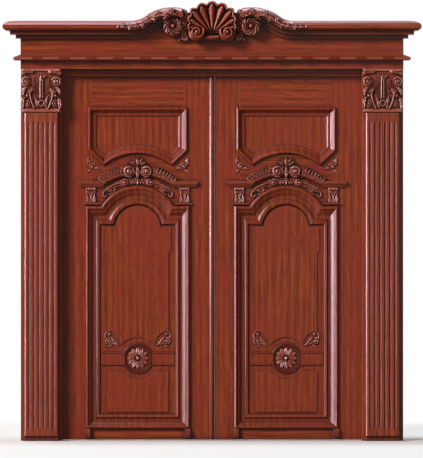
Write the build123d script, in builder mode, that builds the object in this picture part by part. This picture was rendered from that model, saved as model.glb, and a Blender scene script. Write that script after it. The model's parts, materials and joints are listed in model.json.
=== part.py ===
from build123d import *
import math
import os

# Carved wooden double door with its frame, in millimetres.
# X runs across the doorway, +Y runs into the room behind it and +Z is up from the floor.
# The viewer stands at -Y. Both leaves open into the room.

# Driving dimensions of the doorway and the leaves
opening_width = 1724
opening_height = 2100
leaf_thickness = 50
leaf_centre_x = 428
leaf_bottom = 6
edge_gap = 3
meeting_edge_left = 16
meeting_edge_right = 21
stop_depth = 32
stop_overlap = 15
seal_gap = 3
jamb_thickness = 55
front_reach = 186
casing_thickness = 22

# Driving dimensions of the pilasters
pilaster_width = 238
plate_thickness = 22
shaft_width = 193
shaft_depth = 38
shaft_top = 1886
flute_count = 6
flute_pitch = 28.5
flute_radius = 6.5
flute_facets = 10
flute_bottom = 72
flute_top = 1831
necking_height = 26

# Driving dimensions of the header
header_bottom = 2140
header_depth = 62
frieze_thickness = 30
rope_bead_bottom = 2188
crown_bottom = 2314
crown_height = 101
crown_reach = 100
neck_start_x = 463
neck_rise = 78
neck_span = 236
neck_lower_radius = 220
neck_end_turn = 12

# Driving dimensions of the panels
stile_line = 267
panel_sink = 10
panel_thickness = 30
field_rise = 8

# Driving dimensions of the hinges
hinge_heights = (250, 1060, 1870)
hinge_height = 100
hinge_flap = 3
hinge_flap_depth = 34
hinge_setback = 8.5
knuckle_radius = 7.5
knuckle_sides = 8
bore_sides = 8
knuckle_gap = 0.3
pin_radius = 4
pin_clearance = 0.1

# Places that follow from the driving dimensions
jamb_depth = stop_depth + seal_gap + leaf_thickness
back_reach = jamb_depth + casing_thickness
wall_y = (front_reach - back_reach) / 2
stop_back_y = wall_y + stop_depth
leaf_front_y = stop_back_y + seal_gap
leaf_back_y = leaf_front_y + leaf_thickness
plate_face_y = wall_y - plate_thickness
header_face_y = wall_y - header_depth
header_back_y = header_face_y + frieze_thickness
stop_x = opening_width / 2
rebate_x = stop_x + stop_overlap
jamb_x = stop_x + jamb_thickness
hinge_edge_x = rebate_x - edge_gap
hinge_axis_x = (rebate_x + hinge_edge_x) / 2
hinge_axis_y = leaf_back_y + hinge_setback
header_half = stop_x + pilaster_width
pilaster_x = stop_x + pilaster_width / 2
leaf_top = opening_height + stop_overlap - edge_gap
SIDES = {"left": -1, "right": 1}


def facing(x, y):
    """Plane towards the viewer: local x runs across, local y runs up, and heights come forward."""
    return Plane(origin=(x, y, 0), x_dir=(1, 0, 0), z_dir=(0, -1, 0))


def save(part, label):
    """Label a finished piece and write it as a node."""
    part.label = label
    export_step(part, f"parts/{label}.step")


def board(x_limits, y_limits, z_limits):
    """Square-edged board between limits on the three axes."""
    limits = (x_limits, y_limits, z_limits)
    with BuildPart() as piece:
        with Locations(tuple((low + high) / 2 for low, high in limits)):
            Box(*(abs(high - low) for low, high in limits))
    return piece.part


def ruled_solid(outline, section, closed):
    """Carry (inset, height) points round an outline with ruled faces, mitred at every corner.

    A closed section makes a ring. An open section makes a board with flat faces at both ends.
    """
    loops = [[edge.moved(Location((0, 0, height))) for edge in outline(inset)] for inset, height in section]
    pairs = list(zip(loops, loops[1:] + loops[:1])) if closed else list(zip(loops, loops[1:]))
    faces = [Face.make_surface_from_curves(a, b) for low, high in pairs for a, b in zip(low, high)]
    if not closed:
        faces += [Face(Wire(loops[0])), Face(Wire(loops[-1]))]
    return Solid(Shell(faces))


def slab(plane, outline, inset, low, high):
    """Flat board whose edge follows an outline at an inset, between two heights."""
    with BuildPart() as piece:
        with BuildSketch(plane.offset(low)):
            with BuildLine():
                add(outline(inset))
            make_face()
        extrude(amount=high - low)
    return piece.part


# Outlines of the two panel mouldings, as edges at an inset, about the middle of a leaf

upper_top, upper_half, upper_side_foot = 1920, 287, 1670
upper_clip = (195, 1584)
upper_arch_centre, upper_arch_radius = 1341.6, 311.5
lower_half, lower_shoulder, lower_bottom = 300, 1352, 69
lower_arch_centre, lower_arch_radius, lower_head_stretch = 1221, 248, 1.3
upper_opening_inset = upper_half - stile_line
lower_opening_inset = lower_half - stile_line


def upper_corners(inset):
    """Right-hand corners of the upper outline: foot of the side, and start of the arched foot."""
    start, end = Vector(upper_half, upper_side_foot), Vector(*upper_clip)
    along = (end - start).normalized()
    start += Vector(along.Y, -along.X) * inset
    side_foot = start + along * ((upper_half - inset - start.X) / along.X)
    radius = upper_arch_radius + inset
    drop = start - Vector(0, upper_arch_centre)
    half_b, c = drop.dot(along), drop.dot(drop) - radius**2
    arch_start = start + along * (-half_b - math.sqrt(half_b**2 - c))
    return side_foot, arch_start


def upper_outline(inset):
    """Rectangle with clipped lower corners and a foot that arches up into it."""
    half, top = upper_half - inset, upper_top - inset
    side_foot, arch_start = upper_corners(inset)
    crown = (0, upper_arch_centre + upper_arch_radius + inset)
    left_foot, left_arch = (-side_foot.X, side_foot.Y), (-arch_start.X, arch_start.Y)
    return [
        Edge.make_line((-half, top), left_foot),
        Edge.make_line(left_foot, left_arch),
        Edge.make_three_point_arc(left_arch, crown, tuple(arch_start)),
        Edge.make_line(arch_start, side_foot),
        Edge.make_line(side_foot, (half, top)),
        Edge.make_line((half, top), (-half, top)),
    ]


def lower_outline(inset):
    """Tall rectangle with square shoulders and an arched head, where the moulding is wider."""
    half, bottom = lower_half - inset, lower_bottom + inset
    shoulder = lower_shoulder - lower_head_stretch * inset
    radius = lower_arch_radius - lower_head_stretch * inset
    spring = math.sqrt(radius**2 - (shoulder - lower_arch_centre) ** 2)
    return [
        Edge.make_line((-half, bottom), (half, bottom)),
        Edge.make_line((half, bottom), (half, shoulder)),
        Edge.make_line((half, shoulder), (spring, shoulder)),
        Edge.make_three_point_arc((spring, shoulder), (0, lower_arch_centre + radius), (-spring, shoulder)),
        Edge.make_line((-spring, shoulder), (-half, shoulder)),
        Edge.make_line((-half, shoulder), (-half, bottom)),
    ]


# Carving tools: every ornament is chip-carved from these few forms

def blade(root, tip, width, peak, ground=0.0, belly_share=0.42):
    """Leaf blade: a kite on the ground between root and tip, raised to one peak on its vein."""
    start, end = Vector(*root), Vector(*tip)
    across = Vector(start.Y - end.Y, end.X - start.X).normalized() * (width / 2)
    belly = start + (end - start) * belly_share
    low = Vector(0, 0, ground)
    kite = Wire.make_polygon([start + low, belly + across + low, end + low, belly - across + low])
    return Solid.make_loft([kite, Vertex(*(belly + Vector(0, 0, peak)))], True)


def faceted(loops):
    """Solid through loops of points, with flat triangles between neighbours and flat ends."""
    faces = [Face(Wire.make_polygon(loops[0])), Face(Wire.make_polygon(loops[-1]))]
    for low, high in zip(loops, loops[1:]):
        for k in range(len(low)):
            a, b, c, d = low[k - 1], low[k], high[k], high[k - 1]
            faces += [Face(Wire.make_polygon([a, b, c])), Face(Wire.make_polygon([a, c, d]))]
    return Solid(Shell(faces))


def boss(centre, radius, peak, ground=0.0, sides=6):
    """Cut button: a regular pyramid with its point taken off."""
    middle, loops = Vector(*centre), []
    for reach, height in ((radius, ground), (radius * 0.45, peak)):
        turns = (360 / sides * (k + 0.5) for k in range(sides))
        loops.append([middle + Vector(reach, 0, height).rotate(Axis.Z, turn) for turn in turns])
    return faceted(loops)


def volute(centre, radius, eye_radius, ridge, peak, ground=0.0, hand=1, start=90, facets=6):
    """Spiral ridge, cut in facets, that winds one turn in to a blunt eye."""
    sweep_angle = 360
    middle, loops = Vector(*centre), []
    for k in range(facets + 1):
        share = k / facets
        reach = radius + (eye_radius - radius) * share
        width = ridge * (1 - 0.5 * share)
        outward = Vector(1, 0).rotate(Axis.Z, start + hand * sweep_angle * share)
        foot, crest, edge = (middle + outward * (reach - width * part) for part in (1, 0.55, 0))
        loops.append([foot + Vector(0, 0, ground), crest + Vector(0, 0, peak), edge + Vector(0, 0, ground)])
    return [faceted(loops), boss(centre, eye_radius, peak, ground)]


def carving(plane, pad_outline, pad_height, solids):
    """Fuse carved solids, given in the plane's coordinates, with the pad that they stand on."""
    with BuildPart() as piece:
        with BuildSketch(plane):
            with BuildLine():
                add(pad_outline)
            make_face()
        extrude(amount=pad_height)
        for solid in solids:
            add(plane.from_local_coords(solid))
    return piece.part


def place(plane, solids):
    """Fuse carved solids that stand straight on a plane."""
    with BuildPart() as piece:
        for solid in solids:
            add(plane.from_local_coords(solid))
    return piece.part


def mirrored(edges):
    """Close the right half of an outline with its mirror image."""
    return edges + [mirror(edge, about=Plane.YZ) for edge in edges]


os.makedirs("parts", exist_ok=True)

# Frame: jambs, head jamb, seal and inner casing

seal_width, seal_thickness = 9, 2.7
casing_reveal, casing_width, casing_chamfer = 13, 80, 7
head_rebate = opening_height + stop_overlap
head_top = opening_height + jamb_thickness


def jamb(side):
    """Rebated upright with recesses for the hinge flaps."""
    with BuildPart() as piece:
        with BuildSketch():
            with BuildLine():
                Polyline(
                    (side * stop_x, wall_y),
                    (side * stop_x, stop_back_y),
                    (side * rebate_x, stop_back_y),
                    (side * rebate_x, leaf_back_y),
                    (side * jamb_x, leaf_back_y),
                    (side * jamb_x, wall_y),
                    close=True,
                )
            make_face()
        extrude(amount=opening_height)
        recess = (side * (rebate_x + hinge_flap / 2), leaf_back_y - hinge_flap_depth / 2)
        with Locations(*((*recess, height) for height in hinge_heights)):
            Box(hinge_flap, hinge_flap_depth, hinge_height, mode=Mode.SUBTRACT)
    return piece.part


for name, side in SIDES.items():
    save(jamb(side), f"{name}_jamb")

with BuildPart() as head_jamb:
    add(board((-jamb_x, jamb_x), (wall_y, leaf_back_y), (opening_height, head_top)))
    leaf_space = board((-rebate_x, rebate_x), (stop_back_y, leaf_back_y), (opening_height, head_rebate))
    add(leaf_space, mode=Mode.SUBTRACT)
save(head_jamb.part, "head_jamb")

with BuildPart() as door_seal:
    seal_y = stop_back_y + seal_thickness / 2
    seal_x = (stop_x + hinge_edge_x) / 2
    with Locations((-seal_x, seal_y, opening_height / 2), (seal_x, seal_y, opening_height / 2)):
        Box(seal_width, seal_thickness, opening_height)
    with Locations((0, seal_y, (opening_height + leaf_top) / 2)):
        Box(2 * hinge_edge_x, seal_thickness, seal_width)
save(door_seal.part, "door_seal")

with BuildPart() as inner_casing:
    casing_x = rebate_x + casing_reveal
    casing_z = head_rebate + casing_reveal
    with BuildSketch(facing(0, leaf_back_y + casing_thickness)):
        outer_height = casing_z + casing_width
        with Locations((0, outer_height / 2)):
            Rectangle(2 * (casing_x + casing_width), outer_height)
        with Locations((0, casing_z / 2)):
            Rectangle(2 * casing_x, casing_z, mode=Mode.SUBTRACT)
    extrude(amount=casing_thickness)
    room_side = inner_casing.faces().sort_by(Axis.Y)[-1]
    chamfer(room_side.edges().filter_by(lambda edge: edge.center().Z > 1), casing_chamfer)
save(inner_casing.part, "inner_casing")


# Pilasters: plate on the wall, fluted shaft and carved capital

foot_height, foot_undercut = 30, 12
plate_chamfer, shaft_chamfer = 3, 6


def pilaster_plate(side):
    """Backing board of a pilaster with eased front corners."""
    with BuildPart() as piece:
        with BuildSketch(facing(side * pilaster_x, wall_y)):
            with Locations((0, header_bottom / 2)):
                Rectangle(pilaster_width, header_bottom)
        extrude(amount=plate_thickness)
        chamfer(piece.faces().sort_by(Axis.Y)[0].edges().filter_by(Axis.Z), plate_chamfer)
    return piece.part


def pilaster_shaft(side):
    """Shaft with round flutes between a plain foot and a plain head, undercut at the floor."""
    shaft_face_y = plate_face_y - shaft_depth
    with BuildPart() as piece:
        with BuildSketch(facing(side * pilaster_x, plate_face_y)):
            with Locations((0, shaft_top / 2)):
                Rectangle(shaft_width, shaft_top)
        extrude(amount=shaft_depth)
        chamfer(piece.faces().sort_by(Axis.Y)[0].edges().filter_by(Axis.Z), shaft_chamfer)
        with BuildSketch(Plane.XY.offset(flute_bottom)):
            with Locations((side * pilaster_x, shaft_face_y)):
                with GridLocations(flute_pitch, 1, flute_count, 1):
                    RegularPolygon(flute_radius, flute_facets)
        extrude(amount=flute_top - flute_bottom, mode=Mode.SUBTRACT)
        with BuildSketch(Plane.YZ.offset(side * pilaster_x)):
            with BuildLine():
                Polyline(
                    (shaft_face_y, 0),
                    (shaft_face_y + foot_undercut, 0),
                    (shaft_face_y + foot_undercut, foot_height - foot_undercut),
                    (shaft_face_y, foot_height),
                    close=True,
                )
            make_face()
        extrude(amount=shaft_width / 2, both=True, mode=Mode.SUBTRACT)
    return piece.part


capital_plane = facing(0, plate_face_y)
abacus_bottom, abacus_half, horn_width = 2108, 114, 16
horn_reach, horn_side_reach, hollow_reach = 56, 48, 36
bell_bottom = shaft_top + necking_height
bell_foot_half, bell_head_half, bell_rise = 86, 102, 36
necking_half, necking_rise, necking_bead = 104, 40, 6
capital_volute, capital_volute_radius = (82, 2070), 28
capital_ground = 30

# Leaves of a capital: root, tip, width and peak, with heights counted from the foot of the bell
middle_leaves = [((0, -2), (0, 84), 46, 50), ((0, 70), (0, 212), 30, 50)]
side_leaves = [
    ((58, -2), (76, 84), 46, 48),
    ((28, 10), (42, 134), 36, 46),
    ((26, 100), (76, 136), 26, 46),
]


def abacus():
    """Slab on top of a capital with a hollowed front between two blunt horns."""
    corners = [(abacus_half - horn_width, horn_reach), (abacus_half, horn_side_reach), (abacus_half, 0)]
    right, left = ([Vector(side * x, abacus_bottom, reach) for x, reach in corners] for side in (1, -1))
    outline = right + left[::-1]
    edges = [Edge.make_line(start, end) for start, end in zip(outline, outline[1:])]
    edges.append(Edge.make_three_point_arc(left[0], (0, abacus_bottom, hollow_reach), right[0]))
    return Solid.extrude(Face(Wire(edges)), (0, header_bottom - abacus_bottom, 0))


def capital():
    """Carved capital: necking, a flared bell with two rows of leaves and volutes, and an abacus."""
    bell = Wire.make_polygon(
        [
            (-bell_foot_half, bell_bottom),
            (bell_foot_half, bell_bottom),
            (bell_head_half, abacus_bottom),
            (-bell_head_half, abacus_bottom),
        ]
    )
    neck = Plane((0, shaft_top + necking_height / 2))
    fillet_face = Face(Wire.make_rect(2 * necking_half, necking_height, neck))
    bead_face = Face(Wire.make_rect(2 * necking_half - necking_bead, 0.6 * necking_height, neck))
    solids = [abacus(), Solid.extrude(fillet_face, (0, 0, necking_rise))]
    solids.append(Solid.extrude(bead_face, (0, 0, necking_rise + necking_bead)))
    leaves = list(middle_leaves)
    for side in SIDES.values():
        eye = (side * capital_volute[0], capital_volute[1])
        solids += volute(eye, capital_volute_radius, 8, 11, 54, 32, hand=side)
        for root, tip, width, peak in side_leaves:
            leaves.append(((side * root[0], root[1]), (side * tip[0], tip[1]), width, peak))
    lift = Vector(0, bell_bottom)
    for root, tip, width, peak in leaves:
        solids.append(blade(Vector(*root) + lift, Vector(*tip) + lift, width, peak, capital_ground))
    return carving(capital_plane, bell.edges(), bell_rise, solids)


pilaster_capital = capital()
for name, side in SIDES.items():
    save(pilaster_plate(side), f"{name}_pilaster_plate")
    save(pilaster_shaft(side), f"{name}_pilaster_shaft")
    save(pilaster_capital.moved(Location((side * pilaster_x, 0, 0))), f"{name}_pilaster_capital")


# Header: frieze board with its tympanum, ends, soffit, rope bead and swan-neck crown

neck_turn = 2 * math.degrees(math.atan2(neck_rise, neck_span))
neck_upper_radius = neck_span / math.sin(math.radians(neck_turn)) - neck_lower_radius
neck_peak = (neck_span - neck_start_x, crown_bottom + neck_rise)
neck_upper_centre = Vector(neck_peak[0], neck_peak[1] - neck_upper_radius)
neck_end_outward = Vector(0, 1).rotate(Axis.Z, -neck_end_turn)
neck_end = neck_upper_centre + neck_end_outward * neck_upper_radius
tympanum_cover, tympanum_rise = 55, 46
tympanum_shoulder = neck_end + neck_end_outward * tympanum_cover
fascia_bottom, fascia_top = 57, 75
rope_reach = 42
soffit_thickness = 18
rosette_x, rosette_z, rosette_radius, rosette_sides = 224, 2383, 52, 16


def swan_neck(lift=0):
    """Line of the crown's left half where it leaves the level, as two tangent arcs."""
    lower, upper = neck_lower_radius - lift, neck_upper_radius + lift
    CenterArc((-neck_start_x, crown_bottom + neck_lower_radius), lower, -90, neck_turn)
    CenterArc((neck_upper_centre.X, neck_upper_centre.Y), upper, 90 + neck_turn, -neck_turn - neck_end_turn)


def crown_section(base):
    """Edges of the crown in section: two fillets, an ovolo, a flat fascia and a weathered top."""
    with BuildLine() as section:
        Polyline(
            (0, 0),
            (base + 27, 0),
            (base + 27, 21),
            (base + 59, 21),
            (base + 59, 41),
            (base + 86, 45),
            (base + crown_reach, fascia_bottom),
            (base + crown_reach, fascia_top),
            (base + 89, 87),
            (base + 60, 97),
            (base + 21, crown_height),
            (0, crown_height),
            close=True,
        )
    return section.edges()


def rope_section(base):
    """Edges of the rope bead in section: a round nose under a sloped top."""
    with BuildLine() as section:
        nose = [(base + 34, 0), (base + rope_reach, 5), (base + rope_reach, 15), (base + 34, 20)]
        Polyline((0, 0), *nose, (base, 34), (0, 34), close=True)
    return section.edges()


with BuildPart() as frieze_board:
    with BuildSketch(facing(0, header_back_y)):
        with BuildLine():
            Polyline(
                (0, header_bottom),
                (-header_half, header_bottom),
                (-header_half, crown_bottom),
                (-neck_start_x, crown_bottom),
            )
            swan_neck()
            Line(neck_end, tympanum_shoulder)
            tympanum_top = tympanum_shoulder.Y + tympanum_rise
            top_radius = (tympanum_shoulder.X**2 + tympanum_rise**2) / (2 * tympanum_rise)
            top_turn = math.degrees(math.asin(-tympanum_shoulder.X / top_radius))
            CenterArc((0, tympanum_top - top_radius), top_radius, 90, top_turn)
            Line((0, tympanum_top), (0, header_bottom))
        make_face()
        mirror(about=Plane.YZ)
    extrude(amount=frieze_thickness)
save(frieze_board.part, "frieze_board")

end_x = header_half - frieze_thickness
with BuildPart() as header_ends:
    for side in SIDES.values():
        limits = sorted((side * end_x, side * header_half))
        add(board(limits, (header_back_y, wall_y), (header_bottom, crown_bottom)))
save(header_ends.part, "header_ends")

soffit_limits = (header_bottom, header_bottom + soffit_thickness)
save(board((-end_x, end_x), (header_back_y, wall_y), soffit_limits), "header_soffit")

with BuildPart() as rope_bead:
    rope_half = header_half + rope_reach
    rope_run = Plane(origin=(rope_half, wall_y, rope_bead_bottom), x_dir=(0, -1, 0), z_dir=(-1, 0, 0))
    with BuildSketch(rope_run):
        make_face(rope_section(header_depth))
    extrude(amount=2 * rope_half)
    rope_front_y = header_face_y - rope_reach
    rope_face = Plane(origin=(0, rope_front_y, rope_bead_bottom), x_dir=(1, 0, 0), z_dir=(0, -1, 0))
    with BuildSketch(rope_face):
        make_face(rope_section(header_half))
        mirror(about=Plane.YZ)
    extrude(amount=rope_front_y - wall_y, mode=Mode.INTERSECT)
    header_space = board((-header_half, header_half), (header_face_y, wall_y), (header_bottom, crown_bottom))
    add(header_space, mode=Mode.SUBTRACT)
save(rope_bead.part, "rope_bead")

with BuildPart() as left_crown:
    run = Plane(origin=(-neck_start_x, wall_y, crown_bottom), x_dir=(0, -1, 0), z_dir=(-1, 0, 0))
    with BuildSketch(run):
        make_face(crown_section(header_depth))
    extrude(amount=header_half + crown_reach - neck_start_x)
    crown_front_y = header_face_y - crown_reach
    crown_face = Plane(origin=(-neck_start_x, crown_front_y, crown_bottom), x_dir=(-1, 0, 0), z_dir=(0, 1, 0))
    with BuildSketch(crown_face):
        make_face(crown_section(header_half - neck_start_x))
    extrude(amount=header_depth + crown_reach, mode=Mode.INTERSECT)
    with BuildSketch(run):
        make_face(crown_section(header_depth))
    lower_axis = Axis((-neck_start_x, wall_y, crown_bottom + neck_lower_radius), (0, -1, 0))
    revolve(axis=lower_axis, revolution_arc=neck_turn)
    uphill = Vector(1, 0).rotate(Axis.Z, neck_turn)
    bend = neck_upper_centre + Vector(-uphill.Y, uphill.X) * neck_upper_radius
    bend_run = Plane(origin=(bend.X, wall_y, bend.Y), x_dir=(0, -1, 0), z_dir=(-uphill.X, 0, -uphill.Y))
    with BuildSketch(bend_run):
        make_face(crown_section(header_depth))
    upper_axis = Axis((neck_upper_centre.X, wall_y, neck_upper_centre.Y), (0, 1, 0))
    revolve(axis=upper_axis, revolution_arc=neck_turn + neck_end_turn)
    with BuildSketch(facing(0, header_face_y)):
        with Locations((-rosette_x, rosette_z)):
            RegularPolygon(rosette_radius, rosette_sides)
    extrude(amount=crown_reach, mode=Mode.SUBTRACT)

with BuildPart() as cornice_crown:
    add(left_crown.part)
    mirror(about=Plane.YZ)
save(cornice_crown.part, "cornice_crown")


# Crest: shell with volutes, rosettes, leaf whorls and leaf sprays

crest_plane = facing(0, header_face_y)
shell_hub = 2335
shell_back, rib_peak, shell_volute_peak = 54, 98, 108
rib_angles = (0, 21, 40, 57, 72)
rib_reaches = (192, 191, 192, 166, 146)
shell_volute, shell_volute_radius = (88, 2347), 55
bar_centre, bar_half, bar_profile = 2320, 40, ((-14, -8), (-12, 10), (0, 18), (12, 10), (14, -8))
rosette_back, rosette_ground, petal_peak, button_peak = 60, 56, 84, 92
crest_front = front_reach - header_depth


def shell_rib(angle, reach):
    """Rib of the shell: a ridge that widens from the hub and is blunt at the rim."""
    along = Vector(0, 1).rotate(Axis.Z, -angle)
    hub = Vector(0, shell_hub)
    width = 0.42 * reach
    return blade(hub + along * 20, hub + along * reach, width, rib_peak, shell_back - 4, 0.84)


pad_corners = [
    (0, 2298),
    (88, 2294),
    (128, 2320),
    (140, 2352),
    (130, 2392),
    (130, 2456),
    (96, 2494),
    (0, 2512),
]
shell_pad = mirrored(Polyline(*pad_corners).edges())
shell_solids = []
for angle, reach in zip(rib_angles, rib_reaches):
    for side in SIDES.values() if angle else (1,):
        shell_solids.append(shell_rib(side * angle, reach))
for side in SIDES.values():
    eye = (side * shell_volute[0], shell_volute[1])
    ridge = volute(eye, shell_volute_radius, 15, 22, shell_volute_peak, shell_back - 6, hand=-side, facets=9)
    shell_solids += ridge
roll_bar = [Vector(-bar_half, bar_centre + up, shell_back + rise) for up, rise in bar_profile]
shell_solids.append(faceted([roll_bar, [point + Vector(2 * bar_half, 0) for point in roll_bar]]))
crest_shell = carving(crest_plane, shell_pad, shell_back, shell_solids)
save(crest_shell, "crest_shell")

with BuildPart() as crest_rosettes:
    for side in SIDES.values():
        with BuildSketch(crest_plane):
            with Locations((side * rosette_x, rosette_z)):
                RegularPolygon(rosette_radius, rosette_sides)
        extrude(amount=rosette_back)
        middle = Vector(side * rosette_x, rosette_z)
        petals = [boss((side * rosette_x, rosette_z), 16, button_peak, rosette_ground)]
        for angle in range(0, 360, 60):
            outward = Vector(1, 0).rotate(Axis.Z, angle)
            curl = Vector(0, side).rotate(Axis.Z, angle)
            tip = middle + outward * 46 + curl * 10
            petals.append(blade(middle + outward * 8, tip, 44, petal_peak, rosette_ground))
        for petal in petals:
            add(crest_plane.from_local_coords(petal))
save(crest_rosettes.part, "crest_rosettes")


whorl_solids, spray_solids = [], []
fascia_middle, spray_lead = (fascia_bottom + fascia_top) / 2, 76
with BuildLine() as nose:
    spray_z = crown_bottom + fascia_middle
    Line((-neck_start_x - spray_lead, spray_z), (-neck_start_x, spray_z))
    swan_neck(fascia_middle)
spray_count, first_spray, spray_step = 5, 0.03, 0.17
for k in range(spray_count):
    travel = first_spray + spray_step * k
    root, heading = nose.line @ travel, nose.line % travel
    beside = Vector(-heading.Y, heading.X)
    spray_solids.append(blade(root, root + heading * 74 + beside * 8, 32, crest_front, crown_reach))
    for turn in (1, -0.8):
        tip = root + heading * 54 + beside * (32 * turn)
        spray_solids.append(blade(root, tip, 20, crest_front - 6, crown_reach))
whorl_back = 40
whorl_pad = Polyline((-150, 2326), (-172, 2322), (-168, 2396), (-160, 2474), (-149, 2440), close=True).edges()
whorl_leaves = [
    ((-158, 2340), (-157, 2502), 20, 88),
    ((-156, 2390), (-149, 2478), 12, 78),
    ((-156, 2352), (-188, 2316), 22, 66),
]
for root, tip, width, peak in whorl_leaves:
    whorl_solids.append(blade(root, tip, width, peak, whorl_back - 4))
left_whorl = carving(crest_plane, whorl_pad, whorl_back, whorl_solids)

with BuildPart() as crest_leaves:
    add(left_whorl)
    mirror(about=Plane.YZ)
save(crest_leaves.part, "crest_leaves")

with BuildPart() as crown_sprays:
    add(place(crest_plane, spray_solids))
    mirror(about=Plane.YZ)
save(crown_sprays.part, "crown_sprays")


# Leaves: stiles and rails joined by tenons, and two panels that the mouldings hold in place

tenon_length, tenon_thickness = 38, 14
tenon_low = (tenon_thickness - leaf_thickness) / 2 - tenon_thickness
panel_low = -panel_sink - panel_thickness
upper_field_inset, lower_field_inset, field_bevel = 64, 77, 14
belt_bottom, belt_top, belt_end, belt_rise = 434, 509, 210, 5
ring_centre, ring_outer, ring_inner, ring_sides, ring_rise, field_bite = 474, 83, 70, 28, 14, 124
field_half, field_wide_half, field_arch_radius = 176, 190, 128
plinth_width, plinth_height, plinth_rise, plinth_overhang = 30, 55, 26, 3
fillet_width, fillet_rise = 26, 6
leaf_plane = facing(0, leaf_front_y)

# Sections of the two mouldings on the face: inset from the outline, and height over the leaf's face
upper_bolection = [(0, 0), (0, 14), (7, 21), (13, 19), (32, -1), (47, -2), (55, -panel_sink)]
upper_section = upper_bolection + [(upper_opening_inset, -panel_sink), (upper_opening_inset, 0)]
lower_bolection = [(0, 0), (0, 16), (8, 24), (14, 22), (22, 12), (27, 11), (43, -4), (58, -4)]
lower_bolection += [(66, 4), (80, 1), (87, -panel_sink)]
lower_section = lower_bolection + [(lower_opening_inset, -panel_sink), (lower_opening_inset, 0)]


def back_section(opening_inset):
    """Plain fillet on the room side, in the corner between the frame of the leaf and the panel."""
    ridge = (opening_inset, -leaf_thickness - fillet_rise)
    return [(opening_inset, panel_low), (opening_inset + fillet_width, panel_low), ridge]


def leaf_block(plane, x_limits, z_limits):
    """Full-thickness piece of a leaf between limits across and up."""
    with BuildPart() as piece:
        with BuildSketch(plane):
            with Locations(((x_limits[0] + x_limits[1]) / 2, (z_limits[0] + z_limits[1]) / 2)):
                Rectangle(abs(x_limits[1] - x_limits[0]), z_limits[1] - z_limits[0])
        extrude(amount=-leaf_thickness)
    return piece.part


def tenons(plane, z_limits):
    """Pair of tenons that run from a rail's ends into both stiles."""
    with BuildPart() as piece:
        with BuildSketch(plane.offset(tenon_low)):
            for side in SIDES.values():
                with Locations((side * (stile_line + tenon_length / 2), (z_limits[0] + z_limits[1]) / 2)):
                    Rectangle(tenon_length, z_limits[1] - z_limits[0])
        extrude(amount=tenon_thickness)
    return piece.part


def raised_field(plane, edges):
    """Raised field of a panel."""
    with BuildPart() as piece:
        with BuildSketch(plane.offset(-panel_sink)):
            make_face(edges)
        extrude(amount=field_rise)
    return piece.part


def lower_field_edges():
    """Outline of the arched field above the belt, bitten at its lower corners and round the ring."""
    shoulder, jog_top, jog_foot, corner_top, corner_radius = 1231, 1097, 1084, 632, 79
    spring_angle = math.degrees(math.asin((shoulder - lower_arch_centre) / field_arch_radius))
    spring = field_arch_radius * math.cos(math.radians(spring_angle))
    corner = corner_top - corner_radius
    # The corner bite ends where its circle meets the circle round the ring
    gap = math.hypot(field_half, corner - ring_centre)
    reach = (field_bite**2 - corner_radius**2 + gap**2) / (2 * gap)
    side_step = math.sqrt(field_bite**2 - reach**2)
    unit = Vector(field_half, corner - ring_centre) * (1 / gap)
    meet = Vector(0, ring_centre) + unit * reach + Vector(-unit.Y, unit.X) * side_step
    with BuildLine() as half:
        CenterArc((0, lower_arch_centre), field_arch_radius, spring_angle, 90 - spring_angle)
        Polyline(
            (spring, shoulder),
            (field_wide_half, shoulder),
            (field_wide_half, jog_top),
            (field_half, jog_foot),
            (field_half, corner_top),
        )
        RadiusArc((field_half, corner_top), meet, -corner_radius)
        RadiusArc(meet, (0, ring_centre + field_bite), -field_bite)
    return half.edges()


def faceted_ring(plane, rise):
    """Ring with a ridge that slopes both ways, cut in facets round the rosette."""
    middle_radius = (ring_inner + ring_outer) / 2
    with BuildPart() as piece:
        with BuildSketch(plane):
            with Locations((0, ring_centre)):
                RegularPolygon(ring_outer, ring_sides)
        with BuildSketch(plane.offset(rise)):
            with Locations((0, ring_centre)):
                RegularPolygon(middle_radius, ring_sides)
        loft()
        with BuildSketch(plane):
            with Locations((0, ring_centre)):
                RegularPolygon(ring_inner, ring_sides)
        with BuildSketch(plane.offset(rise)):
            with Locations((0, ring_centre)):
                RegularPolygon(middle_radius, ring_sides)
        loft(mode=Mode.SUBTRACT)
    return piece.part


def lower_panel_carving(plane):
    """Fields, belt and ring on the face of a lower panel."""
    foot_top, foot_bottom = 397, 167
    bite_angle = math.degrees(math.acos((ring_centre - foot_top) / field_bite))
    bite_half = field_bite * math.sin(math.radians(bite_angle))
    with BuildLine() as foot_half:
        CenterArc((0, ring_centre), field_bite, -90, bite_angle)
        Polyline((bite_half, foot_top), (field_half, foot_top), (field_half, foot_bottom), (0, foot_bottom))
    with BuildPart() as piece:
        add(raised_field(plane, mirrored(lower_field_edges())))
        add(raised_field(plane, mirrored(foot_half.edges())))
        with BuildSketch(plane.offset(-panel_sink)):
            with Locations((0, (belt_bottom + belt_top) / 2)):
                with GridLocations(belt_end + ring_inner, 1, 2, 1):
                    Rectangle(belt_end - ring_inner, belt_top - belt_bottom)
        extrude(amount=belt_rise)
        add(faceted_ring(plane.offset(-panel_sink), ring_rise))
    return piece.part


hood_centre, hood_inner, hood_outer, hood_rise, hood_chamfer = 1162, 363, 385, 30, 13
shelf_inner, shelf_outer, shelf_reach = 190, 345, 27
lower_shelf_inner, lower_shelf_outer, lower_shelf_reach = 214, 315, 20
upper_shelf, lower_shelf = (1458, 1495), (1352.5, 1368)
small_capital_x, small_capital_width, small_capital_rise = 270, 60, 10
bead_count, bead_pitch, bead_row = 4, 15, 16


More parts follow.
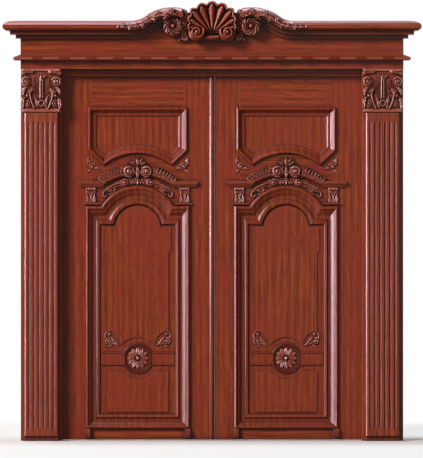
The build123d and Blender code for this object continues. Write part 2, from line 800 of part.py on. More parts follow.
def shelf(x_limits, z_limits, reach):
    """Moulded shelf: a flared cove under a square top."""
    flare = 0.6 * reach
    step = z_limits[0] + 0.62 * (z_limits[1] - z_limits[0])
    middle = (x_limits[0] + x_limits[1]) / 2
    width = abs(x_limits[1] - x_limits[0])
    with BuildPart() as piece:
        for z, inset in ((z_limits[0], flare), (step, 0)):
            with BuildSketch(Plane.XY.offset(z)):
                with Locations((middle, leaf_front_y - (reach - inset) / 2)):
                    Rectangle(width - 2 * inset, reach - inset)
        loft(ruled=True)
        with BuildSketch(Plane.XY.offset(step)):
            with Locations((middle, leaf_front_y - reach / 2)):
                Rectangle(width, reach)
        extrude(amount=z_limits[1] - step)
    return piece.part


def small_capital(plane, x):
    """Little capital between the shelves: a tapered block with leaves, under a row of beads."""
    low, high = lower_shelf[1], upper_shelf[0]
    half = small_capital_width / 2
    bead_line, block_top = high - bead_row / 2, high - bead_row
    block = [(x - half + 5, low), (x + half - 5, low), (x + half, block_top), (x - half, block_top)]
    bar = Face(Wire.make_rect(small_capital_width, bead_row, Plane((x, bead_line))))
    solids = [Solid.extrude(bar, (0, 0, small_capital_rise + 3))]
    for k in range(bead_count):
        left = x + (k - bead_count / 2) * bead_pitch
        solids.append(blade((left, bead_line), (left + bead_pitch, bead_line), bead_pitch, 19, 11, 0.5))
    for offset, lean, reach in ((-18, -6, 62), (18, 6, 62), (0, 0, 70)):
        solids.append(blade((x + offset, low + 2), (x + offset + lean, low + reach), 22, 20, 9))
    return carving(plane, Wire.make_polygon(block).edges(), small_capital_rise, solids)


def arch_point(radius, angle, side):
    """Point at an angle from the upright on a circle about the hood's centre."""
    return Vector(0, hood_centre) + Vector(0, radius).rotate(Axis.Z, -side * angle)


def arch_crest(plane):
    """Carving over the hood: boss and palmette, a volute each side, and leaf chains to end curls."""
    crest_foot = hood_outer + 2
    solids = [boss((0, 1580), 32, 26, sides=8)]
    solids.append(blade((0, 1592), (0, 1628), 20, 26))
    for side in SIDES.values():
        solids += volute(arch_point(crest_foot + 31, 8.5, side), 28, 8, 12, 25, hand=side)
        solids.append(boss(arch_point(crest_foot + 24, 31, side), 16, 20))
        solids.append(blade((side * 10, 1590), (side * 40, 1612), 22, 24))
        for angle, tip_reach in ((13, 18), (18, 38), (22, 20)):
            root = arch_point(crest_foot + 16, angle, side)
            tip = arch_point(crest_foot + tip_reach, angle + 8, side)
            solids.append(blade(root, tip, 26, 22))
    return place(plane, solids)


def arch_spandrel(plane):
    """Carving under the hood: a fan in the middle, a volute each side and leaf scrolls to the ends."""
    head = hood_inner - 3
    solids = [blade(arch_point(head - 6, 0, 1), (0, 1475), 18, 17)]
    for side in SIDES.values():
        solids += volute(arch_point(head - 33, 13, side), 21, 7, 10, 18, hand=side)
        solids.append(boss((side * 178, 1422), 17, 16))
        for root, tip, width in (
            ((10, 1512), (34, 1482), 18),
            ((94, 1490), (160, 1452), 28),
            ((150, 1466), (180, 1430), 18),
        ):
            solids.append(blade((side * root[0], root[1]), (side * tip[0], tip[1]), width, 16))
    return place(plane, solids)


def corner_scroll(plane, side):
    """Scroll in the spandrel under a clipped corner of the upper moulding."""
    solids = volute((side * 256, 1600), 22, 7, 10, 16, hand=side)
    solids += [
        blade((side * 250, 1592), (side * 224, 1552), 22, 14),
        blade((side * 262, 1586), (side * 286, 1548), 18, 12),
        blade((side * 268, 1606), (side * 290, 1648), 16, 12),
    ]
    return place(plane, solids)


def panel_spray(plane, side):
    """Leaf spray in a lower corner of the arched field."""
    solids = [boss((side * 126, 560), 14, 11)]
    for root, tip, width in (
        ((136, 566), (176, 594), 22),
        ((146, 576), (150, 612), 16),
        ((152, 584), (184, 628), 20),
        ((128, 570), (118, 596), 12),
    ):
        solids.append(blade((side * root[0], root[1]), (side * tip[0], tip[1]), width, 11))
    return place(plane, solids)


def rosette(plane):
    """Round flower of pointed petals about a cut button."""
    petal_count, petal_reach = 12, 57
    middle = Vector(0, ring_centre)
    solids = [boss((0, ring_centre), 15, 17)]
    for k in range(petal_count):
        outward = Vector(1, 0).rotate(Axis.Z, 360 / petal_count * (k + 0.5))
        solids.append(blade(middle + outward * 4, middle + outward * petal_reach, 28, 13))
    return place(plane, solids)


def hinge_flaps(side, on_frame):
    """Three hinge flaps with their half of the barrel: solid under the pin, or bored to ride on it."""
    plate_x = rebate_x + hinge_flap / 2 if on_frame else hinge_edge_x - hinge_flap / 2
    half = hinge_height / 2
    low, high = (-half, -knuckle_gap) if on_frame else (knuckle_gap, half)
    x_limits = sorted((side * (plate_x - hinge_flap / 2), side * (plate_x + hinge_flap / 2)))
    with BuildPart() as piece:
        for height in hinge_heights:
            plate_limits = (leaf_back_y - hinge_flap_depth, leaf_back_y)
            add(board(x_limits, plate_limits, (height - half, height + half)))
            add(board(x_limits, (leaf_back_y, hinge_axis_y), (height + low, height + high)))
            with BuildSketch(Plane.XY.offset(height + low)):
                with Locations((side * hinge_axis_x, hinge_axis_y)):
                    RegularPolygon(knuckle_radius, knuckle_sides)
            extrude(amount=high - low)
            if not on_frame:
                with BuildSketch(Plane.XY.offset(height + low)):
                    with Locations((side * hinge_axis_x, hinge_axis_y)):
                        RegularPolygon(pin_radius + pin_clearance, bore_sides, major_radius=False)
                extrude(amount=high - low, mode=Mode.SUBTRACT)
    return piece.part


def hinge_pins(side):
    """Pins that stand on the frame's knuckles and run up through the leaf's."""
    length = hinge_height / 2 + knuckle_gap
    with BuildPart() as piece:
        for height in hinge_heights:
            with BuildSketch(Plane.XY.offset(height - knuckle_gap)):
                with Locations((side * hinge_axis_x, hinge_axis_y)):
                    Circle(pin_radius)
            extrude(amount=length)
    return piece.part


def panel_board(outline, opening_inset, field_inset):
    """Panel that fills its opening between the mouldings, with a plain field on the room side."""
    room_field = [(field_inset, panel_low), (field_inset + field_bevel, panel_low - field_rise)]
    with BuildPart() as piece:
        add(slab(leaf_plane, outline, opening_inset, panel_low, -panel_sink))
        add(leaf_plane.from_local_coords(ruled_solid(outline, room_field, closed=False)))
    return piece.part


def moulding(outline, face_section, opening_inset):
    """Mouldings that frame a panel on the face and on the room side."""
    with BuildPart() as piece:
        for section in (face_section, back_section(opening_inset)):
            add(leaf_plane.from_local_coords(ruled_solid(outline, section, closed=True)))
    return piece.part


opening_top = upper_top - upper_opening_inset
opening_bottom = lower_bottom + lower_opening_inset
arch_rail_foot = lower_shoulder - lower_head_stretch * lower_opening_inset
arch_rail_head = upper_corners(upper_opening_inset)[0].Y
panel_openings = [
    slab(leaf_plane, upper_outline, upper_opening_inset, -leaf_thickness, 0),
    slab(leaf_plane, lower_outline, lower_opening_inset, -leaf_thickness, 0),
]
rail_limits = {
    "top_rail": (opening_top, leaf_top),
    "arch_rail": (arch_rail_foot, arch_rail_head),
    "bottom_rail": (leaf_bottom, opening_bottom),
}
tenon_insets = {"top_rail": (30, 40), "arch_rail": (60, 60), "bottom_rail": (20, 20)}
rail_tenons = {}
for label, (foot, head) in rail_limits.items():
    low_inset, high_inset = tenon_insets[label]
    rail_tenons[label] = tenons(leaf_plane, (foot + low_inset, head - high_inset))

# Pieces that are alike in both leaves, made about the middle of a leaf
leaf_pieces = {}
for label, z_limits in rail_limits.items():
    with BuildPart() as rail:
        add(leaf_block(leaf_plane, (-stile_line, stile_line), z_limits))
        add(panel_openings, mode=Mode.SUBTRACT)
        add(rail_tenons[label])
    leaf_pieces[label] = rail.part

leaf_pieces["upper_panel"] = panel_board(upper_outline, upper_opening_inset, upper_field_inset)

with BuildPart() as lower_panel:
    add(panel_board(lower_outline, lower_opening_inset, lower_field_inset))
    add(lower_panel_carving(leaf_plane))
leaf_pieces["lower_panel"] = lower_panel.part

leaf_pieces["upper_moulding"] = moulding(upper_outline, upper_section, upper_opening_inset)

with BuildPart() as lower_moulding:
    add(moulding(lower_outline, lower_section, lower_opening_inset))
    with BuildSketch(leaf_plane):
        with Locations((0, lower_bottom - plinth_height / 2)):
            with GridLocations(2 * (lower_half + plinth_overhang) - plinth_width, 1, 2, 1):
                Rectangle(plinth_width, plinth_height)
    extrude(amount=plinth_rise)
leaf_pieces["lower_moulding"] = lower_moulding.part

with BuildPart() as hood_moulding:
    with BuildSketch(leaf_plane):
        with Locations((0, hood_centre)):
            Circle(hood_outer)
            Circle(hood_inner, mode=Mode.SUBTRACT)
        with Locations((0, hood_centre + hood_outer)):
            Rectangle(2 * shelf_inner, hood_outer, mode=Mode.INTERSECT)
    extrude(amount=hood_rise)
    front_arcs = hood_moulding.faces().sort_by(Axis.Y)[0].edges().filter_by(GeomType.CIRCLE)
    chamfer(front_arcs.sort_by(SortBy.RADIUS)[0], hood_chamfer)
leaf_pieces["hood_moulding"] = hood_moulding.part

with BuildPart() as arch_carving:
    add([arch_crest(leaf_plane), arch_spandrel(leaf_plane)])
leaf_pieces["arch_carving"] = arch_carving.part

with BuildPart() as shelf_mouldings:
    for side in SIDES.values():
        add(shelf((side * shelf_inner, side * shelf_outer), upper_shelf, shelf_reach))
        add(shelf((side * lower_shelf_inner, side * lower_shelf_outer), lower_shelf, lower_shelf_reach))
leaf_pieces["shelf_mouldings"] = shelf_mouldings.part

panel_plane = leaf_plane.offset(-panel_sink)
with BuildPart() as small_capitals:
    add([small_capital(leaf_plane, side * small_capital_x) for side in SIDES.values()])
leaf_pieces["small_capitals"] = small_capitals.part

with BuildPart() as corner_scrolls:
    add([corner_scroll(leaf_plane, side) for side in SIDES.values()])
leaf_pieces["corner_scrolls"] = corner_scrolls.part

with BuildPart() as panel_sprays:
    add([panel_spray(panel_plane, side) for side in SIDES.values()])
leaf_pieces["panel_sprays"] = panel_sprays.part

leaf_pieces["rosette"] = rosette(panel_plane)

# Each leaf takes a copy of those pieces, its own stiles and its hinges
for name, side in SIDES.items():
    place_x = side * leaf_centre_x
    for label, piece in leaf_pieces.items():
        save(piece.moved(Location((place_x, 0, 0))), f"{name}_{label}")
    plane = facing(place_x, leaf_front_y)
    meeting_edge = meeting_edge_left if side < 0 else meeting_edge_right
    mortises = [piece.moved(Location((place_x, 0, 0))) for piece in rail_tenons.values()]
    for label, edge_line in (("hinge_stile", side * hinge_edge_x), ("meeting_stile", meeting_edge)):
        edge = edge_line - place_x
        with BuildPart() as stile:
            add(leaf_block(plane, (edge, math.copysign(stile_line, edge)), (leaf_bottom, leaf_top)))
            add(mortises, mode=Mode.SUBTRACT)
            if label == "hinge_stile":
                recess = (side * (hinge_edge_x - hinge_flap / 2), leaf_back_y - hinge_flap_depth / 2)
                with Locations(*((*recess, height) for height in hinge_heights)):
                    Box(hinge_flap, hinge_flap_depth, hinge_height, mode=Mode.SUBTRACT)
        save(stile.part, f"{name}_{label}")
    save(hinge_flaps(side, on_frame=True), f"{name}_frame_hinges")
    save(hinge_flaps(side, on_frame=False), f"{name}_leaf_hinges")
    save(hinge_pins(side), f"{name}_hinge_pins")

bead_half, bead_rise, bead_top, bead_setback = 16, 14, 2096, 1.5
with BuildPart() as meeting_bead:
    with BuildSketch(Plane.XY.offset(leaf_bottom)):
        bead_x = meeting_edge_left - bead_setback - bead_half
        with BuildLine():
            ThreePointArc(
                (bead_x - bead_half, leaf_front_y),
                (bead_x, leaf_front_y - bead_rise),
                (bead_x + bead_half, leaf_front_y),
            )
            Line((bead_x + bead_half, leaf_front_y), (bead_x - bead_half, leaf_front_y))
        make_face()
    extrude(amount=bead_top - leaf_bottom)
save(meeting_bead.part, "meeting_bead")

meeting_seal_gap, meeting_seal_depth, meeting_seal_setback = 0.6, 14, 3
seal_back = leaf_back_y - meeting_seal_setback
meeting_seal = board(
    (meeting_edge_left + meeting_seal_gap, meeting_edge_right),
    (seal_back - meeting_seal_depth, seal_back),
    (leaf_bottom, leaf_top),
)
save(meeting_seal, "meeting_seal")
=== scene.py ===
import json
import logging
import math
from dataclasses import dataclass, replace
from enum import Enum
from typing import Any, ClassVar, Protocol, Sequence

import bpy
import numpy as np
from bpy.types import Collection, Material, Mesh, Node, NodeSocket, NodeTree, Object
from mathutils import Matrix, Vector

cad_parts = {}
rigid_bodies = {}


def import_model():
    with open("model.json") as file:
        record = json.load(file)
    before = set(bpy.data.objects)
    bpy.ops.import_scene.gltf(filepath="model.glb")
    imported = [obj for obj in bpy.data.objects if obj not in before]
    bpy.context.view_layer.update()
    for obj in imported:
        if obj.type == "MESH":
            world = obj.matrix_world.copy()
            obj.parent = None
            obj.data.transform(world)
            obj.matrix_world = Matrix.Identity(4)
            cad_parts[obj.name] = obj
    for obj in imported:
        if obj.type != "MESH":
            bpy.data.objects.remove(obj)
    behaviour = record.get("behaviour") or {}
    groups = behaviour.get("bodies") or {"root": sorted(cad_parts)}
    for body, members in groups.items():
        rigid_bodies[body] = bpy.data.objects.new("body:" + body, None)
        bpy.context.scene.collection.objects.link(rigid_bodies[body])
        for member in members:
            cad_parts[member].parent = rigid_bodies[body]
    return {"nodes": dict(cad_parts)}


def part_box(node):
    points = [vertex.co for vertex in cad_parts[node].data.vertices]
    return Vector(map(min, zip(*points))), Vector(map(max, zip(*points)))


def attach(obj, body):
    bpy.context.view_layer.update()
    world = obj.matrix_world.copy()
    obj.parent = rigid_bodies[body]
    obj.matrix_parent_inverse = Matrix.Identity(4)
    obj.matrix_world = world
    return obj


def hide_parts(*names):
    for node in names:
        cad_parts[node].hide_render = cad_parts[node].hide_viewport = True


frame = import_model()

# Looks of a carved wooden double door. Carvings are worked out in millimetres, as heights over the
# board that carries them: "across" runs along X, "up" along Z, and heights come to the viewer.

Point = tuple[float, float]
Field = np.ndarray
Window = tuple[Point, Point]

LOG = logging.getLogger("double_door")
MM = 0.001
MM_PER_METRE = 1000
SIDES = {"left": -1, "right": 1}


def front_of(node: str) -> float:
    """Place along Y of the front of a node of the frame, in millimetres."""
    return MM_PER_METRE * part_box(node)[0].y


LEAF_CENTRE = 428.0
PANEL_SINK = 10.0
LEAF_FACE = front_of("left_hinge_stile")
PANEL_FACE = LEAF_FACE + PANEL_SINK
HEADER_FACE = front_of("frieze_board")
PLATE_FACE = front_of("left_pilaster_plate")


class Grain(Enum):
    """Way that the grain of a board runs."""

    UPRIGHT = "upright"
    LEVEL = "level"


# Carver's strokes: each gives its height over the ground for every point of a grid. A leaflet is
# listed by root, tip, width and rise, a cord by path, width and rise, a knob by centre, radii and
# rise, and a scroll by centre, radius, band and rise. The base is the height that a stroke starts
# from, and values of a class shape all strokes of that kind alike.


class Stroke(Protocol):
    """Anything that raises a part of a carving."""

    def height(self, across: Field, up: Field) -> Field:
        """Work out how far the stroke stands over the ground.

        Args:
            across: Places of the points along X.
            up: Places of the points along Z.

        Returns:
            The height at each point, 0 or less outside the stroke.
        """


def follow(path: Field, across: Field, up: Field) -> tuple[Field, Field]:
    """Find the nearest place on a path for every point of a grid.

    Args:
        path: Points of the path, one to a row.
        across: Places of the points along X.
        up: Places of the points along Z.

    Returns:
        The share of the path's length at the nearest place, and the distance to it, signed by side.
    """
    steps = np.diff(path, axis=0)
    lengths = np.hypot(*steps.T)
    starts = np.concatenate(([0.0], np.cumsum(lengths)))
    best = np.full(across.shape, np.inf)
    share, side = np.zeros(across.shape), np.ones(across.shape)
    for start, step, length, travelled in zip(path, steps, lengths, starts):
        du, dv = across - start[0], up - start[1]
        along = np.clip((du * step[0] + dv * step[1]) / length**2, 0, 1)
        gap = np.hypot(du - along * step[0], dv - along * step[1])
        nearer = gap < best
        best = np.where(nearer, gap, best)
        share = np.where(nearer, (travelled + along * length) / starts[-1], share)
        side = np.where(nearer, np.where(step[0] * dv - step[1] * du < 0, -1.0, 1.0), side)
    return share, best * side


def bowed(root: Point, tip: Point, bow: float, count: int = 16) -> Field:
    """Draw a line that bows sideways.

    Args:
        root: Where it starts.
        tip: Where it ends.
        bow: How far its middle lies from the straight, to the left where positive.
        count: How many points it has.

    Returns:
        The points, one to a row.
    """
    start, end = np.array(root, float), np.array(tip, float)
    run = end - start
    beside = np.array((-run[1], run[0])) / np.hypot(*run)
    share = np.linspace(0, 1, count)[:, None]
    parabola = 4 * share * (1 - share)
    return start + run * share + beside * bow * parabola


def arc(centre: Point, radius: float, first: float, last: float, count: int = 24) -> Field:
    """Points of an arc between two angles in degrees, counted from the right and turning left."""
    turn = np.radians(np.linspace(first, last, count))
    return np.column_stack((centre[0] + radius * np.cos(turn), centre[1] + radius * np.sin(turn)))


def dome(share: Field) -> Field:
    """Round cross-section: 1 on the middle line, 0 from the edge outwards."""
    return np.sqrt(np.clip(1 - share**2, 0, 1))


@dataclass(frozen=True)
class Leaflet:
    """Leaf blade on a bowed vein, with lobed edges, a sunk vein and a tip that lifts."""

    root: Point
    tip: Point
    width: float
    rise: float
    bow: float = 0.0
    lobes: int = 0
    base: float = 0.0
    blunt_end: ClassVar[float] = 0.02
    belly: ClassVar[float] = 0.72
    fullness: ClassVar[float] = 0.8
    lobe_cut: ClassVar[float] = 0.3
    vein_depth: ClassVar[float] = 0.3
    vein_width: ClassVar[float] = 0.2
    tip_lift: ClassVar[float] = 0.3

    def height(self, across: Field, up: Field) -> Field:
        """Work out the height of the blade.

        Args:
            across: Places of the points along X.
            up: Places of the points along Z.

        Returns:
            The height at each point, 0 off the blade.
        """
        share, gap = follow(bowed(self.root, self.tip, self.bow), across, up)
        along = np.clip(share, self.blunt_end, 1 - self.blunt_end) ** self.belly
        half = self.width / 2 * np.sin(math.pi * along) ** self.fullness
        if self.lobes:
            half = half * (1 - self.lobe_cut * np.abs(np.sin(math.pi * self.lobes * share)) ** 3)
        edge = np.abs(gap) / half
        vein = self.vein_depth * np.exp(-((edge / self.vein_width) ** 2))
        body = dome(edge) * (1 - self.tip_lift + self.tip_lift * share) * (1 - vein)
        return np.where(edge < 1, self.base + self.rise * body, 0.0)


@dataclass(frozen=True)
class Cord:
    """Round-backed bead along a path, that may thin towards its end."""

    path: Field
    width: float
    rise: float
    thinning: float = 0.0
    base: float = 0.0

    def height(self, across: Field, up: Field) -> Field:
        """Work out the height of the bead.

        Args:
            across: Places of the points along X.
            up: Places of the points along Z.

        Returns:
            The height at each point, 0 off the bead.
        """
        share, gap = follow(self.path, across, up)
        taper = 1 - self.thinning * share
        edge = np.abs(gap) / (self.width / 2 * taper)
        return np.where(edge < 1, self.base + self.rise * taper * dome(edge), 0.0)


@dataclass(frozen=True)
class Ground:
    """Flat pad along a path, with eased shoulders."""

    path: Field
    width: float
    rise: float
    shoulder: ClassVar[float] = 3.0

    def height(self, across: Field, up: Field) -> Field:
        """Height of the pad at each point, 0 off it."""
        _, gap = follow(self.path, across, up)
        return self.rise * np.clip((self.width / 2 - np.abs(gap)) / self.shoulder, 0, 1)


@dataclass(frozen=True)
class Knob:
    """Domed button, round or oval."""

    centre: Point
    radii: Point
    rise: float
    base: float = 0.0

    def height(self, across: Field, up: Field) -> Field:
        """Work out the height of the button.

        Args:
            across: Places of the points along X.
            up: Places of the points along Z.

        Returns:
            The height at each point, 0 off the button.
        """
        du, dv = across - self.centre[0], up - self.centre[1]
        edge = np.hypot(du / self.radii[0], dv / self.radii[1])
        return np.where(edge < 1, self.base + self.rise * dome(edge), 0.0)


@dataclass(frozen=True)
class Scroll:
    """Spiral band with a rounded back and a sunk groove, that winds in to a domed eye."""

    centre: Point
    radius: float
    band: float
    rise: float
    hand: int = 1
    start: float = 90.0
    turns: float = 1.6
    eye: float = 0.22
    base: float = 0.0
    eye_cut: ClassVar[float] = 1.35
    eye_spread: ClassVar[float] = 1.4
    eye_rise: ClassVar[float] = 1.1
    winding: ClassVar[float] = 0.85
    thinning: ClassVar[float] = 0.5
    onset: ClassVar[float] = 14.0
    inner_swell: ClassVar[float] = 0.2
    groove_reach: ClassVar[float] = 0.9
    groove_rise: ClassVar[float] = 0.25

    def height(self, across: Field, up: Field) -> Field:
        """Work out the height of the band, its eye and the groove between the turns.

        Args:
            across: Places of the points along X.
            up: Places of the points along Z.

        Returns:
            The height at each point, 0 off the scroll.
        """
        du, dv = across - self.centre[0], up - self.centre[1]
        reach = np.hypot(du, dv)
        angle = self.hand * (np.arctan2(dv, du) - math.radians(self.start)) % (2 * math.pi)
        eye_radius = self.eye * self.radius
        eye_edge = reach / (eye_radius * self.eye_spread)
        eye = self.base + self.rise * self.eye_rise * dome(eye_edge)
        result = np.where(reach < eye_radius * self.eye_cut, eye, 0.0)
        for turn in range(math.ceil(self.turns)):
            share = (angle + 2 * math.pi * turn) / (2 * math.pi * self.turns)
            wound = np.clip(share, 0, 1)
            outer = self.radius + (eye_radius - self.radius) * wound**self.winding
            half = self.band / 2 * (1 - self.thinning * wound)
            edge = np.abs(reach - (outer - half)) / half
            swell = 1 - self.inner_swell + self.inner_swell * wound
            swell = np.clip(share * self.onset, 0, 1) * swell
            ridge = self.base + self.rise * swell * dome(edge)
            result = np.maximum(result, np.where((edge < 1) & (share <= 1), ridge, 0.0))
        groove = self.base + self.groove_rise * self.rise
        return np.maximum(result, np.where(reach < self.radius * self.groove_reach, groove, 0.0))


@dataclass(frozen=True)
class Fan:
    """Shell of rounded ribs that spread from a hub to a scalloped rim."""

    hub: Point
    angles: Sequence[float]
    reaches: Sequence[float]
    base: float
    rise: float
    scallop: ClassVar[float] = 0.085
    rib_width: ClassVar[float] = 0.96
    rib_least: ClassVar[float] = 0.02
    rib_end: ClassVar[float] = 0.9
    rib_round: ClassVar[float] = 0.12
    rib_spread: ClassVar[float] = 0.2
    rib_foot: ClassVar[float] = 0.45
    rib_climb: ClassVar[float] = 0.55
    lip_foot: ClassVar[float] = 0.62
    lip_rise: ClassVar[float] = 0.28
    lip_middle: ClassVar[float] = 0.955
    lip_half: ClassVar[float] = 0.05
    valley: ClassVar[float] = 0.12

    def height(self, across: Field, up: Field) -> Field:
        """Work out the height of the ribs, the valleys between them and the lip round their ends.

        Args:
            across: Places of the points along X.
            up: Places of the points along Z.

        Returns:
            The height at each point, 0 off the shell.
        """
        du, dv = across - self.hub[0], up - self.hub[1]
        reach = np.hypot(du, dv)
        angle = np.degrees(np.arctan2(du, dv))
        middles = np.array([-a for a in reversed(self.angles[1:])] + list(self.angles), float)
        rims = np.array(list(reversed(self.reaches[1:])) + list(self.reaches), float)
        edges = (middles[1:] + middles[:-1]) / 2
        first, last = 2 * middles[0] - edges[0], 2 * middles[-1] - edges[-1]
        bounds = np.concatenate(([first], edges, [last]))
        nearest = np.clip(np.searchsorted(bounds, angle) - 1, 0, len(middles) - 1)
        middle = middles[nearest]
        flank = np.where(angle < middle, middle - bounds[nearest], bounds[nearest + 1] - middle)
        offset = (angle - middle) / flank
        share = reach / (np.interp(angle, middles, rims) * (1 - self.scallop * offset**2))
        outward = np.clip(share, 0, 1)
        rounded_end = np.clip((self.rib_end - share) / self.rib_round, 0, 1) ** 0.5
        half = self.rib_width * rounded_end * (1 - self.rib_spread + self.rib_spread * outward)
        rib = dome(offset / np.clip(half, self.rib_least, None))
        rib = rib * (self.rib_foot + self.rib_climb * outward)
        lip = self.lip_foot + self.lip_rise * dome((share - self.lip_middle) / self.lip_half)
        lip = np.where(share > self.rib_end, lip, 0.0)
        shell = self.base + self.rise * np.maximum(np.maximum(rib, lip), self.valley)
        return np.where((share < 1) & (np.abs(angle) < last), shell, 0.0)


@dataclass(frozen=True)
class Flower:
    """Round flower of rounded petals about a button; a twist makes the petals swirl."""

    centre: Point
    radius: float
    petals: int
    rise: float
    twist: float = 0.0
    base: float = 0.0
    notch: ClassVar[float] = 0.14
    crown: ClassVar[float] = 0.75
    crown_power: ClassVar[float] = 0.8
    outer_rise: ClassVar[float] = 0.65
    button: ClassVar[float] = 0.24
    moat: ClassVar[float] = 0.32
    moat_rise: ClassVar[float] = 0.3
    twist_start: ClassVar[float] = 0.05

    def height(self, across: Field, up: Field) -> Field:
        """Work out the height of the petals, the button and the moat round it.

        Args:
            across: Places of the points along X.
            up: Places of the points along Z.

        Returns:
            The height at each point, 0 off the flower.
        """
        du, dv = across - self.centre[0], up - self.centre[1]
        reach = np.hypot(du, dv) / self.radius
        angle = np.arctan2(dv, du) + self.twist * np.log(np.clip(reach, self.twist_start, None))
        wave = np.abs(np.cos(self.petals * angle / 2))
        edge = reach / (1 - self.notch + self.notch * wave)
        back = 1 - self.crown + self.crown * wave**self.crown_power
        outward = 1 - self.outer_rise + self.outer_rise * np.clip(edge, 0, 1)
        petal = dome(edge**3) * back * outward
        button = np.where(reach < self.button, dome(reach / self.button), 0.0)
        moat = np.where((reach > self.button) & (reach < self.moat), self.moat_rise, 1.0)
        return np.where(edge < 1, self.base + self.rise * np.maximum(petal * moat, button), 0.0)


@dataclass(frozen=True)
class Block:
    """Block with straight slanting sides, flat or hollowed in front, with eased edges."""

    low: float
    high: float
    low_half: float
    high_half: float
    rise: float
    hollow: float = 0.0
    ease_width: ClassVar[float] = 4.0
    ease_depth: ClassVar[float] = 6.0
    hollow_reach: ClassVar[float] = 0.86

    def height(self, across: Field, up: Field) -> Field:
        """Work out the height of the block.

        Args:
            across: Places of the points along X.
            up: Places of the points along Z.

        Returns:
            The height at each point, 0 off the block.
        """
        share = (up - self.low) / (self.high - self.low)
        half = self.low_half + (self.high_half - self.low_half) * share
        inside = (share > 0) & (share < 1) & (np.abs(across) < half)
        eased = np.clip((half - np.abs(across)) / self.ease_width, 0, 1)
        dip = 1 - np.clip(np.abs(across) / (self.hollow_reach * half), 0, 1) ** 2
        face = self.rise - self.hollow * dip - self.ease_depth * (1 - eased)
        return np.where(inside, face, 0.0)


@dataclass(frozen=True)
class Lattice:
    """Field of crossed ridges between two bowed edges."""

    path: Field
    width: float
    pitch: float
    rise: float
    base: float = 0.0
    blunt_end: ClassVar[float] = 0.08

    def height(self, across: Field, up: Field) -> Field:
        """Work out the height of the ridges.

        Args:
            across: Places of the points along X.
            up: Places of the points along Z.

        Returns:
            The height at each point, 0 off the field.
        """
        share, gap = follow(self.path, across, up)
        along = np.clip(share, self.blunt_end, 1 - self.blunt_end)
        half = self.width / 2 * np.sin(math.pi * along)
        crossed = [np.abs(np.cos(math.pi * (across + s * up) / self.pitch)) ** 2 for s in (1, -1)]
        ridges = self.base + self.rise * np.maximum(*crossed)
        return np.where(np.abs(gap) < half, ridges, 0.0)


@dataclass(frozen=True)
class Mirror:
    """Mirror image of a stroke about the middle line."""

    stroke: Stroke

    def height(self, across: Field, up: Field) -> Field:
        """Height of the mirror image at each point."""
        return self.stroke.height(-across, up)


@dataclass(frozen=True)
class Shifted:
    """Copy of a stroke, moved along X."""

    stroke: Stroke
    across: float

    def height(self, across: Field, up: Field) -> Field:
        """Height of the copy at each point."""
        return self.stroke.height(across - self.across, up)


def mirrored(strokes: Sequence[Stroke]) -> list[Stroke]:
    """Strokes together with their mirror images about the middle line."""
    return [turned for stroke in strokes for turned in (stroke, Mirror(stroke))]


# Mesh tools. Sizes are in millimetres, and the angle is in degrees.

# Width of a cell of the grid, where a carving doesn't need a finer one
CELL = 2.2
# A point is hollow where it lies lower than the mean of what is this near
NEIGHBOURHOOD = 9
# A hollow is full at this share of the relief's height and this much more
HOLLOW_SHARE = 0.06
HOLLOW_LEAST = 2.0
# A face that stays under this height is cut away
BARE = 0.3
# A relief's back lies this deep in the board that carries it
BEDDING = 0.4
# Edges that turn by less than this are smooth
SMOOTH_ANGLE = 50


def softened(values: Field, reach: int) -> Field:
    """Mean of a grid of values over a square window.

    Args:
        values: Values on the grid's rows and columns.
        reach: Cells from the window's middle to its edge.

    Returns:
        The means, on the same grid.
    """
    width = 2 * reach + 1
    for axis in (0, 1):
        margins = [(reach + 1, reach) if axis == other else (0, 0) for other in (0, 1)]
        sums = np.cumsum(np.pad(values, margins, mode="edge"), axis=axis)
        count = sums.shape[axis]
        ends, starts = sums.take(range(width, count), axis), sums.take(range(count - width), axis)
        values = (ends - starts) / width
    return values


def places_of(mesh: Mesh) -> Field:
    """Read the places of a mesh's points.

    Args:
        mesh: The mesh.

    Returns:
        The places in metres, one to a row.
    """
    places = np.empty(len(mesh.vertices) * 3)
    mesh.vertices.foreach_get("co", places)
    return places.reshape(-1, 3)


def close_back(piece: Object, ground: float) -> None:
    """Extrude a relief to its back, turn its faces outwards and smooth it.

    Args:
        piece: The relief, active and in edit mode.
        ground: Place along Y of the board that carries it.
    """
    bpy.ops.mesh.select_all(action="SELECT")
    bpy.ops.mesh.extrude_region_move(TRANSFORM_OT_translate={"value": (0, MM, 0)})
    bpy.ops.object.mode_set(mode="OBJECT")
    mesh = piece.data
    is_back = np.empty(len(mesh.vertices), bool)
    mesh.vertices.foreach_get("select", is_back)
    places = places_of(mesh)
    places[is_back, 1] = (ground + BEDDING) * MM
    mesh.vertices.foreach_set("co", places.ravel())
    bpy.ops.object.mode_set(mode="EDIT")
    bpy.ops.mesh.select_all(action="SELECT")
    bpy.ops.mesh.normals_make_consistent(inside=False)
    bpy.ops.object.mode_set(mode="OBJECT")
    bpy.ops.object.shade_smooth_by_angle(angle=math.radians(SMOOTH_ANGLE))


